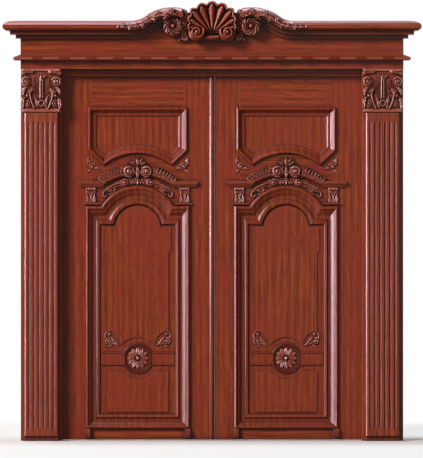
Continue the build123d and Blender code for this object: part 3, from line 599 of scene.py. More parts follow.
def carve(
    name: str, window: Window, ground: float, strokes: Sequence[Stroke], spacing: float = CELL
) -> Object:
    """Carve one closed relief from a grid: raise it, cut away what is bare and close its back.

    Args:
        name: Name of the new object.
        window: Lower left and upper right corner of the grid.
        ground: Place along Y of the board that carries the relief.
        strokes: What is carved; the highest stroke wins at each point.
        spacing: Width of a cell of the grid.

    Returns:
        The relief, with an attribute "hollow": 1 in its deepest hollows, -1 on its highest ridges.
    """
    (left, bottom), (right, top) = window
    columns, rows = round((right - left) / spacing), round((top - bottom) / spacing)
    bpy.ops.object.select_all(action="DESELECT")
    bpy.ops.mesh.primitive_grid_add(x_subdivisions=columns, y_subdivisions=rows, size=1.0)
    piece = bpy.context.object
    piece.name = piece.data.name = name
    mesh = piece.data
    share = places_of(mesh) + 0.5
    across = left + share[:, 0] * (right - left)
    up = bottom + share[:, 1] * (top - bottom)
    rise = np.max([stroke.height(across, up) for stroke in strokes], axis=0)
    around = softened(rise.reshape(rows + 1, columns + 1), round(NEIGHBOURHOOD / spacing)).ravel()
    depth = np.clip((around - rise) / (HOLLOW_SHARE * rise.max() + HOLLOW_LEAST), -1, 1)
    hollow = mesh.attributes.new("hollow", "FLOAT", "POINT")
    hollow.data.foreach_set("value", depth.astype(np.float32))
    relief = np.column_stack((across, ground - rise, up)) * MM
    mesh.vertices.foreach_set("co", relief.ravel())
    corners = np.empty(len(mesh.loops), np.int32)
    mesh.loops.foreach_get("vertex_index", corners)
    bpy.context.tool_settings.mesh_select_mode = (False, False, True)
    mesh.vertices.foreach_set("select", np.zeros(len(mesh.vertices), bool))
    mesh.edges.foreach_set("select", np.zeros(len(mesh.edges), bool))
    mesh.polygons.foreach_set("select", rise[corners.reshape(-1, 4)].max(axis=1) < BARE)
    bpy.ops.object.mode_set(mode="EDIT")
    bpy.ops.mesh.delete(type="FACE")
    close_back(piece, ground)
    return piece


def joined(name: str, pieces: Sequence[Object]) -> Object:
    """Join several meshes into one object.

    Args:
        name: Name of the object.
        pieces: What is joined, first the one that stays.

    Returns:
        The object.
    """
    bpy.ops.object.select_all(action="DESELECT")
    for piece in pieces:
        piece.select_set(True)
    bpy.context.view_layer.objects.active = pieces[0]
    bpy.ops.object.join()
    result = bpy.context.object
    result.name = result.data.name = name
    return result


def carved_pair(
    name: str, window: Window, ground: float, strokes: Sequence[Stroke], spacing: float = CELL
) -> Object:
    """Carve a relief on the right and its mirror image on the left, as one object.

    Args:
        name: Name of the new object.
        window: Lower left and upper right corner of the right one's grid.
        ground: Place along Y of the board that carries the reliefs.
        strokes: What is carved on the right.
        spacing: Width of a cell of the grid.

    Returns:
        The pair.
    """
    (near, bottom), (far, top) = window
    turned = [Mirror(stroke) for stroke in strokes]
    left = carve(f"{name}_left", ((-far, bottom), (-near, top)), ground, turned, spacing)
    right = carve(f"{name}_right", window, ground, strokes, spacing)
    return joined(name, [left, right])


def set_apart(left: Object, offset: float) -> dict[str, Object]:
    """Move a piece from the middle line to the left, and put a copy as far to the right.

    Args:
        left: The piece, with a name that starts with its side.
        offset: How far each goes along X, in millimetres.

    Returns:
        The two pieces by side, each with its own mesh.
    """
    right = left.copy()
    right.data = left.data.copy()
    right.name = right.data.name = left.name.replace("left", "right", 1)
    bpy.context.scene.collection.objects.link(right)
    pieces = {"left": left, "right": right}
    for name, side in SIDES.items():
        pieces[name].data.transform(Matrix.Translation((side * offset * MM, 0, 0)))
    return pieces


def settle(piece: Object, body: str, finish: Material, *nodes: str) -> None:
    """Give a new piece its finish and its place in the assembly.

    Args:
        piece: The new piece.
        body: Body that it moves with.
        finish: Material of the piece.
        nodes: Nodes of the frame that the piece stands for.
    """
    piece.data.materials.clear()
    piece.data.materials.append(finish)
    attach(piece, body)
    if nodes:
        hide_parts(*nodes)
    triangles = sum(len(polygon.vertices) - 2 for polygon in piece.data.polygons)
    LOG.info("%s rides on %s with %d triangles", piece.name, body, triangles)


# Finishes. A wave texture repeats every 0.314 over its scale, and a noise texture's spots are half
# its period wide, so a real size in millimetres gives the scale of either.

WAVE_REPEAT = 0.314
NOISE_SPOT = 0.5


def linear(colour: str) -> tuple[float, float, float, float]:
    """Turn an sRGB hex colour into linear red, green, blue and alpha."""
    parts = (int(colour[k : k + 2], 16) / 255 for k in (1, 3, 5))
    return (*(c / 12.92 if c <= 0.04045 else ((c + 0.055) / 1.055) ** 2.4 for c in parts), 1.0)


def add_node(
    tree: NodeTree, kind: str, inputs: dict[str | int, Any] | None = None, **settings: Any
) -> Node:
    """Add a node to a tree.

    Args:
        tree: Tree that gets the node.
        kind: Type of the node.
        inputs: Value, or socket to link from, for each input by name or number.
        settings: Properties of the node.

    Returns:
        The new node.
    """
    node = tree.nodes.new(kind)
    for name, value in settings.items():
        setattr(node, name, value)
    for key, value in (inputs or {}).items():
        if isinstance(value, NodeSocket):
            tree.links.new(value, node.inputs[key])
        else:
            node.inputs[key].default_value = value
    return node


def new_material(name: str) -> tuple[Material, NodeTree]:
    """Make an empty node material.

    Args:
        name: Name of the material.

    Returns:
        The material and its node tree.
    """
    material = bpy.data.materials.new(name)
    material.use_nodes = True
    material.node_tree.nodes.clear()
    return material, material.node_tree


@dataclass(frozen=True)
class LacqueredWood:
    """Open-grained hardwood, stained red, under satin lacquer, with painted shade and glazing in
    its nooks and painted highlights and wear on its edges.
    """

    # Stain takes unevenly, so boards drift between red and orange-brown, and open pores hold it in
    # dark ticks. Nooks and hollows are painted dark, glaze and painted shade in one; edges and
    # ridges are painted pale, wear and painted highlights in one; and lacquer adds a soft shine.
    # Real pores
    # are a fraction of a millimetre wide: these are drawn coarser, so that they show.
    name: str
    grain: Grain
    board: int
    dark: str = "#64220F"
    middle: str = "#823518"
    light: str = "#9A4826"
    red: str = "#86311E"
    pore: str = "#47160A"
    # The next colour paints nooks and hollows dark, glaze and painted shade in one; the one after
    # it paints edges and ridges pale, wear and painted highlights in one
    glaze_and_shade: str = "#1A0201"
    wear_and_highlight: str = "#B87868"
    streak_mm: float = 4.0
    figure_mm: float = 40.0
    patch_mm: float = 160.0
    pore_mm: float = 3.0
    stretch: float = 0.04
    pore_stretch: float = 0.12
    board_step: Sequence[float] = (0.37, 0.21, 0.53)
    figure_share: float = 0.16
    figure_wander: float = 9.0
    figure_detail: Point = (2.0, 0.7)
    stain_range: Point = (0.3, 0.7)
    red_range: Point = (0.42, 0.62)
    red_depth: float = 0.75
    pore_range: Point = (0.6, 0.72)
    pore_depth: float = 0.55
    bump: float = 0.12
    bump_mm: float = 1.5
    roughness: float = 0.34
    specular: float = 0.16
    # How far and how strongly nooks and hollows are painted dark (painted shade), and edges and
    # ridges painted pale (wear and painted highlights)
    nook_mm: float = 45.0
    nook_range: Point = (0.3, 0.93)
    nook_shade: float = 1.0
    hollow_shade: float = 0.95
    edge_mm: float = 5.0
    edge_range: Point = (0.45, 0.85)
    edge_wear_and_highlight: float = 0.45
    ridge_range: Point = (-0.2, -0.8)
    ridge_highlight_and_wear: float = 0.0

    def drawing(self, tree: NodeTree) -> dict[str, NodeSocket]:
        """Draw the patterns of the board.

        Args:
            tree: Node tree of the material.

        Returns:
            The strength of the figure, the streaks, the stain's patches and the pores, by name.
        """
        placing = {
            "Vector": add_node(tree, "ShaderNodeTexCoord").outputs["Object"],
            "Rotation": (0.0, math.pi / 2 if self.grain is Grain.LEVEL else 0.0, 0.0),
            "Location": tuple(step * self.board for step in self.board_step),
        }
        turned = add_node(tree, "ShaderNodeMapping", placing).outputs[0]
        drawn, ticked = (
            add_node(tree, "ShaderNodeMapping", {"Vector": turned, "Scale": (1, 1, run)}).outputs[0]
            for run in (self.stretch, self.pore_stretch)
        )
        waves = {
            "Vector": drawn,
            "Scale": WAVE_REPEAT / (self.figure_mm * MM),
            "Distortion": self.figure_wander,
            "Detail": self.figure_detail[0],
            "Detail Scale": self.figure_detail[1],
        }
        figure = add_node(tree, "ShaderNodeTexWave", waves, bands_direction="X")
        result = {"figure": figure.outputs["Fac"]}
        for name, vector, size, detail in (
            ("streaks", drawn, self.streak_mm, 5.0),
            ("patches", turned, self.patch_mm, 3.0),
            ("pores", ticked, self.pore_mm, 1.0),
        ):
            spots = {"Vector": vector, "Scale": NOISE_SPOT / (size * MM), "Detail": detail}
            result[name] = add_node(tree, "ShaderNodeTexNoise", spots).outputs[0]
        return result

    def stained(self, tree: NodeTree, drawing: dict[str, NodeSocket]) -> NodeSocket:
        """Stain the streaks and the figure from dark to light.

        Args:
            tree: Node tree of the material.
            drawing: Patterns of the board, by name.

        Returns:
            The colour of the stained grain.
        """
        shares = {"Factor": self.figure_share, 2: drawing["streaks"], 3: drawing["figure"]}
        streaked = add_node(tree, "ShaderNodeMix", shares, data_type="FLOAT")
        ramp = add_node(tree, "ShaderNodeValToRGB", {"Fac": streaked.outputs[0]})
        low, high = ramp.color_ramp.elements
        low.position, high.position = self.stain_range
        low.color, high.color = linear(self.dark), linear(self.light)
        ramp.color_ramp.elements.new(sum(self.stain_range) / 2).color = linear(self.middle)
        return ramp.outputs[0]

    def layers(
        self, tree: NodeTree, drawing: dict[str, NodeSocket]
    ) -> list[tuple[NodeSocket, str]]:
        """Work out where red stain, filled pores, pale paint (wear and painted highlights) and dark
        paint (glazing and painted shade) lie over the stained grain.

        Args:
            tree: Node tree of the material.
            drawing: Patterns of the board, by name.

        Returns:
            The strength and the colour of each layer, from the lowest to the highest.
        """
        depth = add_node(tree, "ShaderNodeAttribute", attribute_name="hollow").outputs["Fac"]
        # Edges found by rays from inside are painted pale, wear and painted highlights in one;
        # nooks found by rays from outside are painted dark, glaze and painted shade in one
        edge, nook = (
            add_node(tree, "ShaderNodeAmbientOcclusion", {"Distance": mm * MM}, **how).outputs["AO"]
            for mm, how in (
                (self.edge_mm, {"inside": True, "only_local": True, "samples": 4}),
                (self.nook_mm, {"samples": 8}),
            )
        )
        # Masks for the red stain, the pores, the painted highlight and wear on ridges and on edges,
        # and the painted shade in nooks
        reddened, ticked, lit_and_worn_ridges, worn_and_lit_edges, nook_shaded = (
            add_node(
                tree,
                "ShaderNodeMapRange",
                {
                    "Value": value,
                    "From Min": low,
                    "From Max": high,
                    "To Min": at_low,
                    "To Max": at_high,
                },
            ).outputs[0]
            for value, (low, high), at_low, at_high in (
                (drawing["patches"], self.red_range, 0.0, self.red_depth),
                (drawing["pores"], self.pore_range, 0.0, self.pore_depth),
                (depth, self.ridge_range, 0.0, self.ridge_highlight_and_wear),
                (edge, self.edge_range, self.edge_wear_and_highlight, 0.0),
                (nook, self.nook_range, self.nook_shade, 0.0),
            )
        )
        # Painted shade: the deeper a point of a carving lies in its hollow, the darker it is
        # painted
        share = {0: depth, 1: self.hollow_shade}
        sunk = add_node(tree, "ShaderNodeMath", share, operation="MULTIPLY")
        wear_and_highlight_mask, glaze_and_shade_mask = (
            add_node(tree, "ShaderNodeMath", {0: one, 1: other}, operation="MAXIMUM").outputs[0]
            for one, other in ((worn_and_lit_edges, lit_and_worn_ridges), (nook_shaded, sunk.outputs[0]))
        )
        return [
            (reddened, self.red),
            (ticked, self.pore),
            (wear_and_highlight_mask, self.wear_and_highlight),
            (glaze_and_shade_mask, self.glaze_and_shade),
        ]

    def material(self) -> Material:
        """Build the node material of this board.

        Returns:
            The material.
        """
        material, tree = new_material(self.name)
        drawing = self.drawing(tree)
        colour = self.stained(tree, drawing)
        for strength, tone in self.layers(tree, drawing):
            over = {"Factor": strength, 6: colour, 7: linear(tone)}
            colour = add_node(tree, "ShaderNodeMix", over, data_type="RGBA").outputs[2]
        streaks = {
            "Height": drawing["streaks"],
            "Strength": self.bump,
            "Distance": self.bump_mm * MM,
        }
        surface = {
            "Base Color": colour,
            "Roughness": self.roughness,
            "Specular IOR Level": self.specular,
            "Normal": add_node(tree, "ShaderNodeBump", streaks).outputs[0],
        }
        shader = add_node(tree, "ShaderNodeBsdfPrincipled", surface)
        add_node(tree, "ShaderNodeOutputMaterial", {"Surface": shader.outputs[0]})
        return material


@dataclass(frozen=True)
class Mottled:
    """Metal or rubber whose surface drifts finely between two tones."""

    # Real marks and bloom are finer than a millimetre: these are drawn coarser, so that they show
    name: str
    low: str
    high: str
    spot_mm: float
    detail: float
    roughness: float
    metallic: float = 0.0

    def material(self) -> Material:
        """Build the node material of this surface.

        Returns:
            The material.
        """
        material, tree = new_material(self.name)
        spots = {
            "Vector": add_node(tree, "ShaderNodeTexCoord").outputs["Object"],
            "Scale": NOISE_SPOT / (self.spot_mm * MM),
            "Detail": self.detail,
        }
        mottle = add_node(tree, "ShaderNodeTexNoise", spots)
        ramp = add_node(tree, "ShaderNodeValToRGB", {"Fac": mottle.outputs[0]})
        low, high = ramp.color_ramp.elements
        low.color, high.color = linear(self.low), linear(self.high)
        surface = {
            "Base Color": ramp.outputs[0],
            "Metallic": self.metallic,
            "Roughness": self.roughness,
        }
        shader = add_node(tree, "ShaderNodeBsdfPrincipled", surface)
        add_node(tree, "ShaderNodeOutputMaterial", {"Surface": shader.outputs[0]})
        return material


class Finishes:
    """The materials of the whole door, each made once."""

    level_words: Sequence[str] = ("rail", "frieze", "head_jamb", "shelf", "header_ends")

    def __init__(self) -> None:
        """Build every material."""
        # Plain boards: each comes from another place of the log, so neighbours differ a little
        self.upright, self.level = (
            [
                LacqueredWood(f"stained_wood_{grain.value}_{board}", grain, board).material()
                for board in range(count)
            ]
            for grain, count in ((Grain.UPRIGHT, 4), (Grain.LEVEL, 3))
        )
        # Deep profiles get the most painted shade, reaching 60 mm into their nooks, and run from a
        # shining nose to nearly black quirks
        moulded = LacqueredWood(
            "stained_wood_moulded",
            Grain.UPRIGHT,
            board=6,
            specular=0.13,
            nook_mm=60.0,
            nook_range=(0.6, 1.02),
        )
        # The crown's members are wider and get less painted shade, so they show more of the stain
        # between their dark quirks
        cornice = replace(
            moulded,
            name="stained_wood_cornice",
            grain=Grain.LEVEL,
            specular=0.16,
            nook_range=(0.5, 1.0),
        )
        # The bead's nose is painted pale over a wide band: a painted highlight, along with wear
        roped = LacqueredWood(
            "stained_wood_roped", Grain.LEVEL, board=4, edge_mm=14.0, edge_wear_and_highlight=0.75
        )
        # Twists are cut across the grain, which drinks the lacquer and leaves them dull; the gaps
        # between them get painted shade, and their edges no pale paint
        twisted = LacqueredWood(
            "stained_wood_twisted",
            Grain.LEVEL,
            board=4,
            nook_mm=8.0,
            roughness=0.6,
            specular=0.04,
            edge_wear_and_highlight=0.0,
        )
        # Flat boards beside the opening get little painted shade in their nooks, so the pilasters'
        # shadow on them stays lighter
        reveal = LacqueredWood("stained_wood_reveal", Grain.UPRIGHT, board=7, nook_shade=0.25)
        # Carvings get strong pale paint on their ridges, wear and painted highlights in one, and
        # dark paint in their grounds, glaze and painted shade in one
        carved = LacqueredWood(
            "stained_wood_carved",
            Grain.UPRIGHT,
            board=5,
            streak_mm=7.0,
            nook_mm=10.0,
            nook_shade=0.8,
            edge_wear_and_highlight=0.1,
            ridge_highlight_and_wear=0.68,
        )
        # The shell's ridges are painted less pale, so less wear and painted highlight, and its
        # lacquer shines less
        crest = replace(carved, name="stained_wood_crest", specular=0.08, ridge_highlight_and_wear=0.45)
        # Brass flaps, rubbed to a satin: a soft yellow shine, duller where air has reached it
        brass = Mottled("satin_brass", "#8F6C36", "#B98F4A", 2.2727, 3.0, 0.34, metallic=1.0)
        # Turned steel pins: a bright grey shine with faint darker marks
        steel = Mottled("turned_steel", "#8E8E8C", "#B4B4B2", 2.2727, 3.0, 0.28, metallic=1.0)
        # Pressed rubber: nearly black brown, with a fine matt bloom
        rubber = Mottled("brown_seal_rubber", "#2A1A15", "#3A2822", 5.5556, 4.0, 0.75)
        self.moulded, self.cornice, self.roped, self.twisted, self.reveal = (
            finish.material() for finish in (moulded, cornice, roped, twisted, reveal)
        )
        self.carved, self.crest, self.brass, self.steel, self.rubber = (
            finish.material() for finish in (carved, crest, brass, steel, rubber)
        )

    def for_node(self, node: str) -> Material:
        """Choose the material of a node of the frame by its name.

        Args:
            node: Name of the node.

        Returns:
            The material.
        """
        for material, *endings in (
            (self.steel, "hinge_pins"),
            (self.brass, "frame_hinges", "leaf_hinges"),
            (self.rubber, "door_seal", "meeting_seal"),
            (self.moulded, "moulding"),
            (self.cornice, "crown"),
            (self.roped, "rope_bead"),
            (self.reveal, "hinge_stile", "plate", "left_jamb", "right_jamb", "soffit"),
        ):
            if node.endswith(tuple(endings)):
                return material
        family = self.level if any(word in node for word in self.level_words) else self.upright
        return family[sum(map(ord, node)) % len(family)]


# Sub-assemblies


@dataclass
class Joinery:
    """Boards and mouldings of the frame, that keep their shape and get finish and soft edges."""

    edge_mm: float = 1.6
    edge_segments: int = 2
    crown_edge_mm: float = 7.0
    crown_edge_segments: int = 3
    edge_angle: float = 32.0
    weld_mm: float = 0.01

    def dress(self, finishes: Finishes) -> None:
        """Give every node its material, and round the edges of the wooden ones.

        Args:
            finishes: Materials of the door.
        """
        for name, node in frame["nodes"].items():
            finish = finishes.for_node(name)
            node.data.materials.clear()
            node.data.materials.append(finish)
            if finish in (finishes.steel, finishes.brass, finishes.rubber):
                continue
            is_crown = name.endswith("crown")
            weld = node.modifiers.new("weld", "WELD")
            weld.merge_threshold = self.weld_mm * MM
            bevel = node.modifiers.new("soft_edges", "BEVEL")
            bevel.width = (self.crown_edge_mm if is_crown else self.edge_mm) * MM
            bevel.segments = self.crown_edge_segments if is_crown else self.edge_segments
            bevel.limit_method = "ANGLE"
            bevel.angle_limit = math.radians(self.edge_angle)
        LOG.info("dressed %d nodes", len(frame["nodes"]))


@dataclass
class Crest:
    """Carved crest over the doorway: shell, rosettes, leaf whorls and sprays on the swan necks."""

    shell_hub: Point = (0.0, 2335.0)
    shell_angles: Sequence[float] = (0, 21, 40, 57, 72)
    shell_reaches: Sequence[float] = (192, 192, 193, 168, 148)
    shell_window: Window = ((-150, 2288), (150, 2527))
    volute_centre: Point = (87.0, 2348.0)
    volute_radius: float = 55.0
    rosette_centre: Point = (224.0, 2383.0)
    rosette_radius: float = 56.0
    rosette_petals: int = 9
    rosette_twist: float = 1.7
    whorl_window: Window = ((132, 2296), (196, 2506))
    crown_foot: float = 2314.0
    crown_reach: float = 100.0
    neck_start: float = 463.0
    neck_rise: float = 78.0
    neck_span: float = 236.0
    neck_radius: float = 220.0
    neck_end_turn: float = 12.0
    spray_lift: float = 62.0
    spray_start: float = 76.0
    spray_leaves: int = 9
    spray_first: float = 0.03
    spray_step: float = 0.095
    spray_growth: Point = (0.75, 0.45)
    spray_window: Window = ((168, 2336), (560, 2492))
    rope_middle: float = 10.0
    rope_pitch: float = 155.0
    rope_groups: int = 7
    twist_pitch: float = 13.0
    twists_beside: int = 2

    def shell(self) -> Object:
        """Carve the shell with its two volutes and the roll between them.

        Returns:
            The shell.
        """
        (across, up), reach = self.volute_centre, self.volute_radius
        fan = Fan(self.shell_hub, self.shell_angles, self.shell_reaches, base=52, rise=56)
        roll = Cord(bowed((-36, 2320), (36, 2320), -3), 24, 30, base=52)
        under = Ground(bowed((-70, 2330), (70, 2330), 0), 64, 50)
        halves = [
            Scroll((across, up), reach, 24, 54, hand=1, start=120, turns=1.75, base=64),
            Knob((across, up - 0.26 * reach), (0.86 * reach, 0.66 * reach), 42, base=64),
        ]
        strokes = [fan, roll, under, *mirrored(halves)]
        return carve("shell_crest", self.shell_window, HEADER_FACE, strokes)

    def rosettes(self) -> Object:
        """Carve the two swirling rosettes at the ends of the swan necks.

        Returns:
            The pair.
        """
        (across, up), reach = self.rosette_centre, self.rosette_radius
        made = []
        for name, side in SIDES.items():
            centre = (side * across, up)
            disc = Knob(centre, (reach, reach), 14, base=56)
            twist = self.rosette_twist * side
            swirl = Flower(centre, reach - 1, self.rosette_petals, 38, twist=twist, base=58)
            window = (centre[0] - reach, up - reach), (centre[0] + reach, up + reach)
            made.append(carve(f"{name}_swirl", window, HEADER_FACE, [disc, swirl], spacing=1.8))
        return joined("swirl_rosettes", made)

    def whorls(self) -> Object:
        """Carve the leaf whorls between the shell and the rosettes.

        Returns:
            The pair.
        """
        strokes = [
            Ground(bowed((156, 2318), (162, 2462), -5), 42, 34),
            Scroll((164, 2444), 28, 12, 26, hand=1, start=-40, turns=1.5, base=44),
            Leaflet((150, 2404), (176, 2484), 34, 30, bow=14, lobes=3, base=38),
            Leaflet((144, 2430), (148, 2478), 24, 26, bow=-6, base=38),
            Scroll((164, 2396), 22, 10, 22, hand=-1, start=60, turns=1.4, base=44),
            Leaflet((170, 2378), (150, 2338), 26, 24, bow=8, lobes=2, base=36),
            Scroll((160, 2342), 19, 9, 18, hand=1, start=120, turns=1.3, base=36),
            Cord(bowed((140, 2306), (186, 2306), 9), 12, 22, thinning=0.3, base=12),
            Knob((186, 2304), (8.5, 8.5), 26, base=12),
        ]
        return carved_pair("leaf_whorls", self.whorl_window, HEADER_FACE, strokes)

    def swan_neck(self, lift: float) -> Field:
        """Follow the crown's right half where it climbs.

        Args:
            lift: Height of the line over the crown's lower edge.

        Returns:
            Points of the line from its foot upwards, one to a row.
        """
        turn = 2 * math.atan2(self.neck_rise, self.neck_span)
        upper_radius = self.neck_span / math.sin(turn) - self.neck_radius
        foot = (self.neck_start, self.crown_foot + self.neck_radius)
        top = (self.neck_start - self.neck_span, self.crown_foot + self.neck_rise - upper_radius)
        turn = math.degrees(turn)
        climb = arc(foot, self.neck_radius - lift, -90, -90 - turn)
        over = arc(top, upper_radius + lift, 90 - turn, 90 + self.neck_end_turn)
        level = np.array(((self.neck_start + self.spray_start, self.crown_foot + lift),))
        return np.vstack((level, climb, over))

    def sprays(self) -> Object:
        """Carve the leaf sprays that climb the swan necks on the crown's nose.

        Returns:
            The pair.
        """
        path = self.swan_neck(self.spray_lift)
        lengths = np.concatenate(([0], np.cumsum(np.hypot(*np.diff(path, axis=0).T))))
        stem = path[2 : len(path) * 4 // 5]
        strokes: list[Stroke] = [Ground(path[3:], 34, 4), Cord(stem, 10, 16)]
        small, growth = self.spray_growth
        for k in range(self.spray_leaves):
            hand = (-1) ** k
            travel = (self.spray_first + self.spray_step * k) * lengths[-1]
            root, beyond = (
                np.array([np.interp(place, lengths, path[:, axis]) for axis in (0, 1)])
                for place in (travel, travel + 8)
            )
            ahead = (beyond - root) / np.hypot(*(beyond - root))
            beside = np.array((ahead[1], -ahead[0])) * hand
            grow = small + growth * k / self.spray_leaves
            for forth, sway, width in ((52, -17, 14), (40, 25, 13), (20, 30, 12)):
                tip = root + (ahead * forth + beside * sway) * grow
                bow = 0.4 * sway * hand
                strokes.append(Leaflet(tuple(root), tuple(tip), width * grow, 18, bow=bow, base=4))
            curl = tuple(root + (ahead * 24 + beside * 13) * grow)
            strokes.append(
                Scroll(curl, 14 * grow, 6.5 * grow, 16, hand=hand, start=180, turns=1.3, base=6)
            )
        strokes.append(Knob(tuple(path[0]), (10, 9), 10))
        for ring in range(3):
            radius = self.rosette_radius + 9 + 13 * ring
            bead = arc(self.rosette_centre, radius, 38 + 8 * ring, 118 - 6 * ring)
            strokes.append(Cord(bead, 12, 9, thinning=0.3))
        nose = HEADER_FACE - self.crown_reach
        return carved_pair("swan_neck_sprays", self.spray_window, nose, strokes)

    def rope_twists(self) -> Object:
        """Carve the groups of slanting twists along the rope bead.

        Returns:
            The twists.
        """
        middle = MM_PER_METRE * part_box("rope_bead")[0].z + self.rope_middle
        pad = Block(middle - 9, middle + 9, 32, 32, 1.2)
        strokes: list[Stroke] = []
        for group in range(-self.rope_groups, self.rope_groups):
            centre = (group + 0.5) * self.rope_pitch
            strokes.append(Shifted(pad, centre))
            for twist in range(-self.twists_beside, self.twists_beside + 1):
                across = centre + twist * self.twist_pitch
                slant = bowed((across - 6, middle - 7), (across + 6, middle + 7), 0, 4)
                strokes.append(Cord(slant, 7, 5))
        reach = self.rope_groups * self.rope_pitch
        window = ((-reach, middle - 10), (reach, middle + 10))
        return carve("rope_twists", window, front_of("rope_bead"), strokes, spacing=1.5)

    def make(self, finishes: Finishes) -> None:
        """Carve the crest and set it on the frame.

        Args:
            finishes: Materials of the door.
        """
        settle(self.shell(), "frame", finishes.crest, "crest_shell")
        settle(self.rosettes(), "frame", finishes.carved, "crest_rosettes")
        settle(self.whorls(), "frame", finishes.carved, "crest_leaves")
        settle(self.sprays(), "frame", finishes.carved, "crown_sprays")
        settle(self.rope_twists(), "frame", finishes.twisted)


@dataclass
class Capitals:
    """Carved capitals of the two pilasters."""

    centre: float = 981.0
    half_width: float = 115.0
    necking: Point = (1886.0, 1912.0)
    necking_half: float = 104.0
    abacus: Point = (2108.0, 2140.0)
    abacus_half: float = 112.0
    bell_halves: Point = (86.0, 102.0)
    bell_rise: float = 28.0
    volute: Point = (88.0, 2066.0)
    volute_radius: float = 34.0

    def strokes(self) -> list[Stroke]:
        """Draw one capital about its own middle line.

        Returns:
            The strokes.
        """
        (neck, foot), (head, top), bell = self.necking, self.abacus, self.bell_rise
        neck_line, neck_end = (neck + foot) / 2, self.necking_half - 1
        halves = [
            Scroll(self.volute, self.volute_radius, 14, 24, hand=-1, start=170, turns=1.8, base=30),
            Cord(bowed((54, 2124), (108, 2116), 4), 32, 20, base=26),
            Cord(bowed((7, 1972), (7, 2076), 0), 9, 16, base=bell),
            Leaflet((4, 2078), (36, 2098), 20, 20, bow=9, base=bell),
            Lattice(bowed((12, 1988), (46, 2078), -6), 56, 12, 9, base=27),
            Leaflet((52, 2026), (90, 2004), 28, 24, bow=-9, lobes=2, base=bell),
            Leaflet((84, 2034), (104, 1986), 26, 20, bow=8, lobes=2, base=bell),
            Knob((80, 1986), (9, 12), 16, base=bell),
            Cord(bowed((38, foot), (66, 2000), -5), 11, 20, base=bell),
            Leaflet((26, foot + 2), (40, 1984), 22, 18, bow=7, base=bell),
            Scroll((78, 1938), 23, 10, 20, hand=1, start=60, turns=1.3, base=bell),
            Leaflet((104, foot), (92, 1980), 34, 22, bow=-10, lobes=3, base=bell),
        ]
        middle = [
            Block(foot, head + 22, *self.bell_halves, bell),
            Block(top - 13, top, self.abacus_half, self.abacus_half, 50, hollow=10),
            Block(neck, foot, self.necking_half, self.necking_half, 34),
            Cord(bowed((-neck_end, neck_line), (neck_end, neck_line), 0, 4), 20, 12, base=31),
            Cord(arc((0, 1942), 16, 0, 360, 32), 10, 20, base=bell),
            Leaflet((0, 2070), (0, 2110), 22, 22, base=bell),
        ]
        return middle + mirrored(halves)

    def make(self, finishes: Finishes) -> None:
        """Carve one capital, copy it and set both on the frame.

        Args:
            finishes: Materials of the door.
        """
        window = ((-self.half_width, self.necking[0]), (self.half_width, self.abacus[1]))
        pattern = carve("left_capital", window, PLATE_FACE, self.strokes(), spacing=1.9)
        for side, piece in set_apart(pattern, self.centre).items():
            settle(piece, "frame", finishes.carved, f"{side}_pilaster_capital")


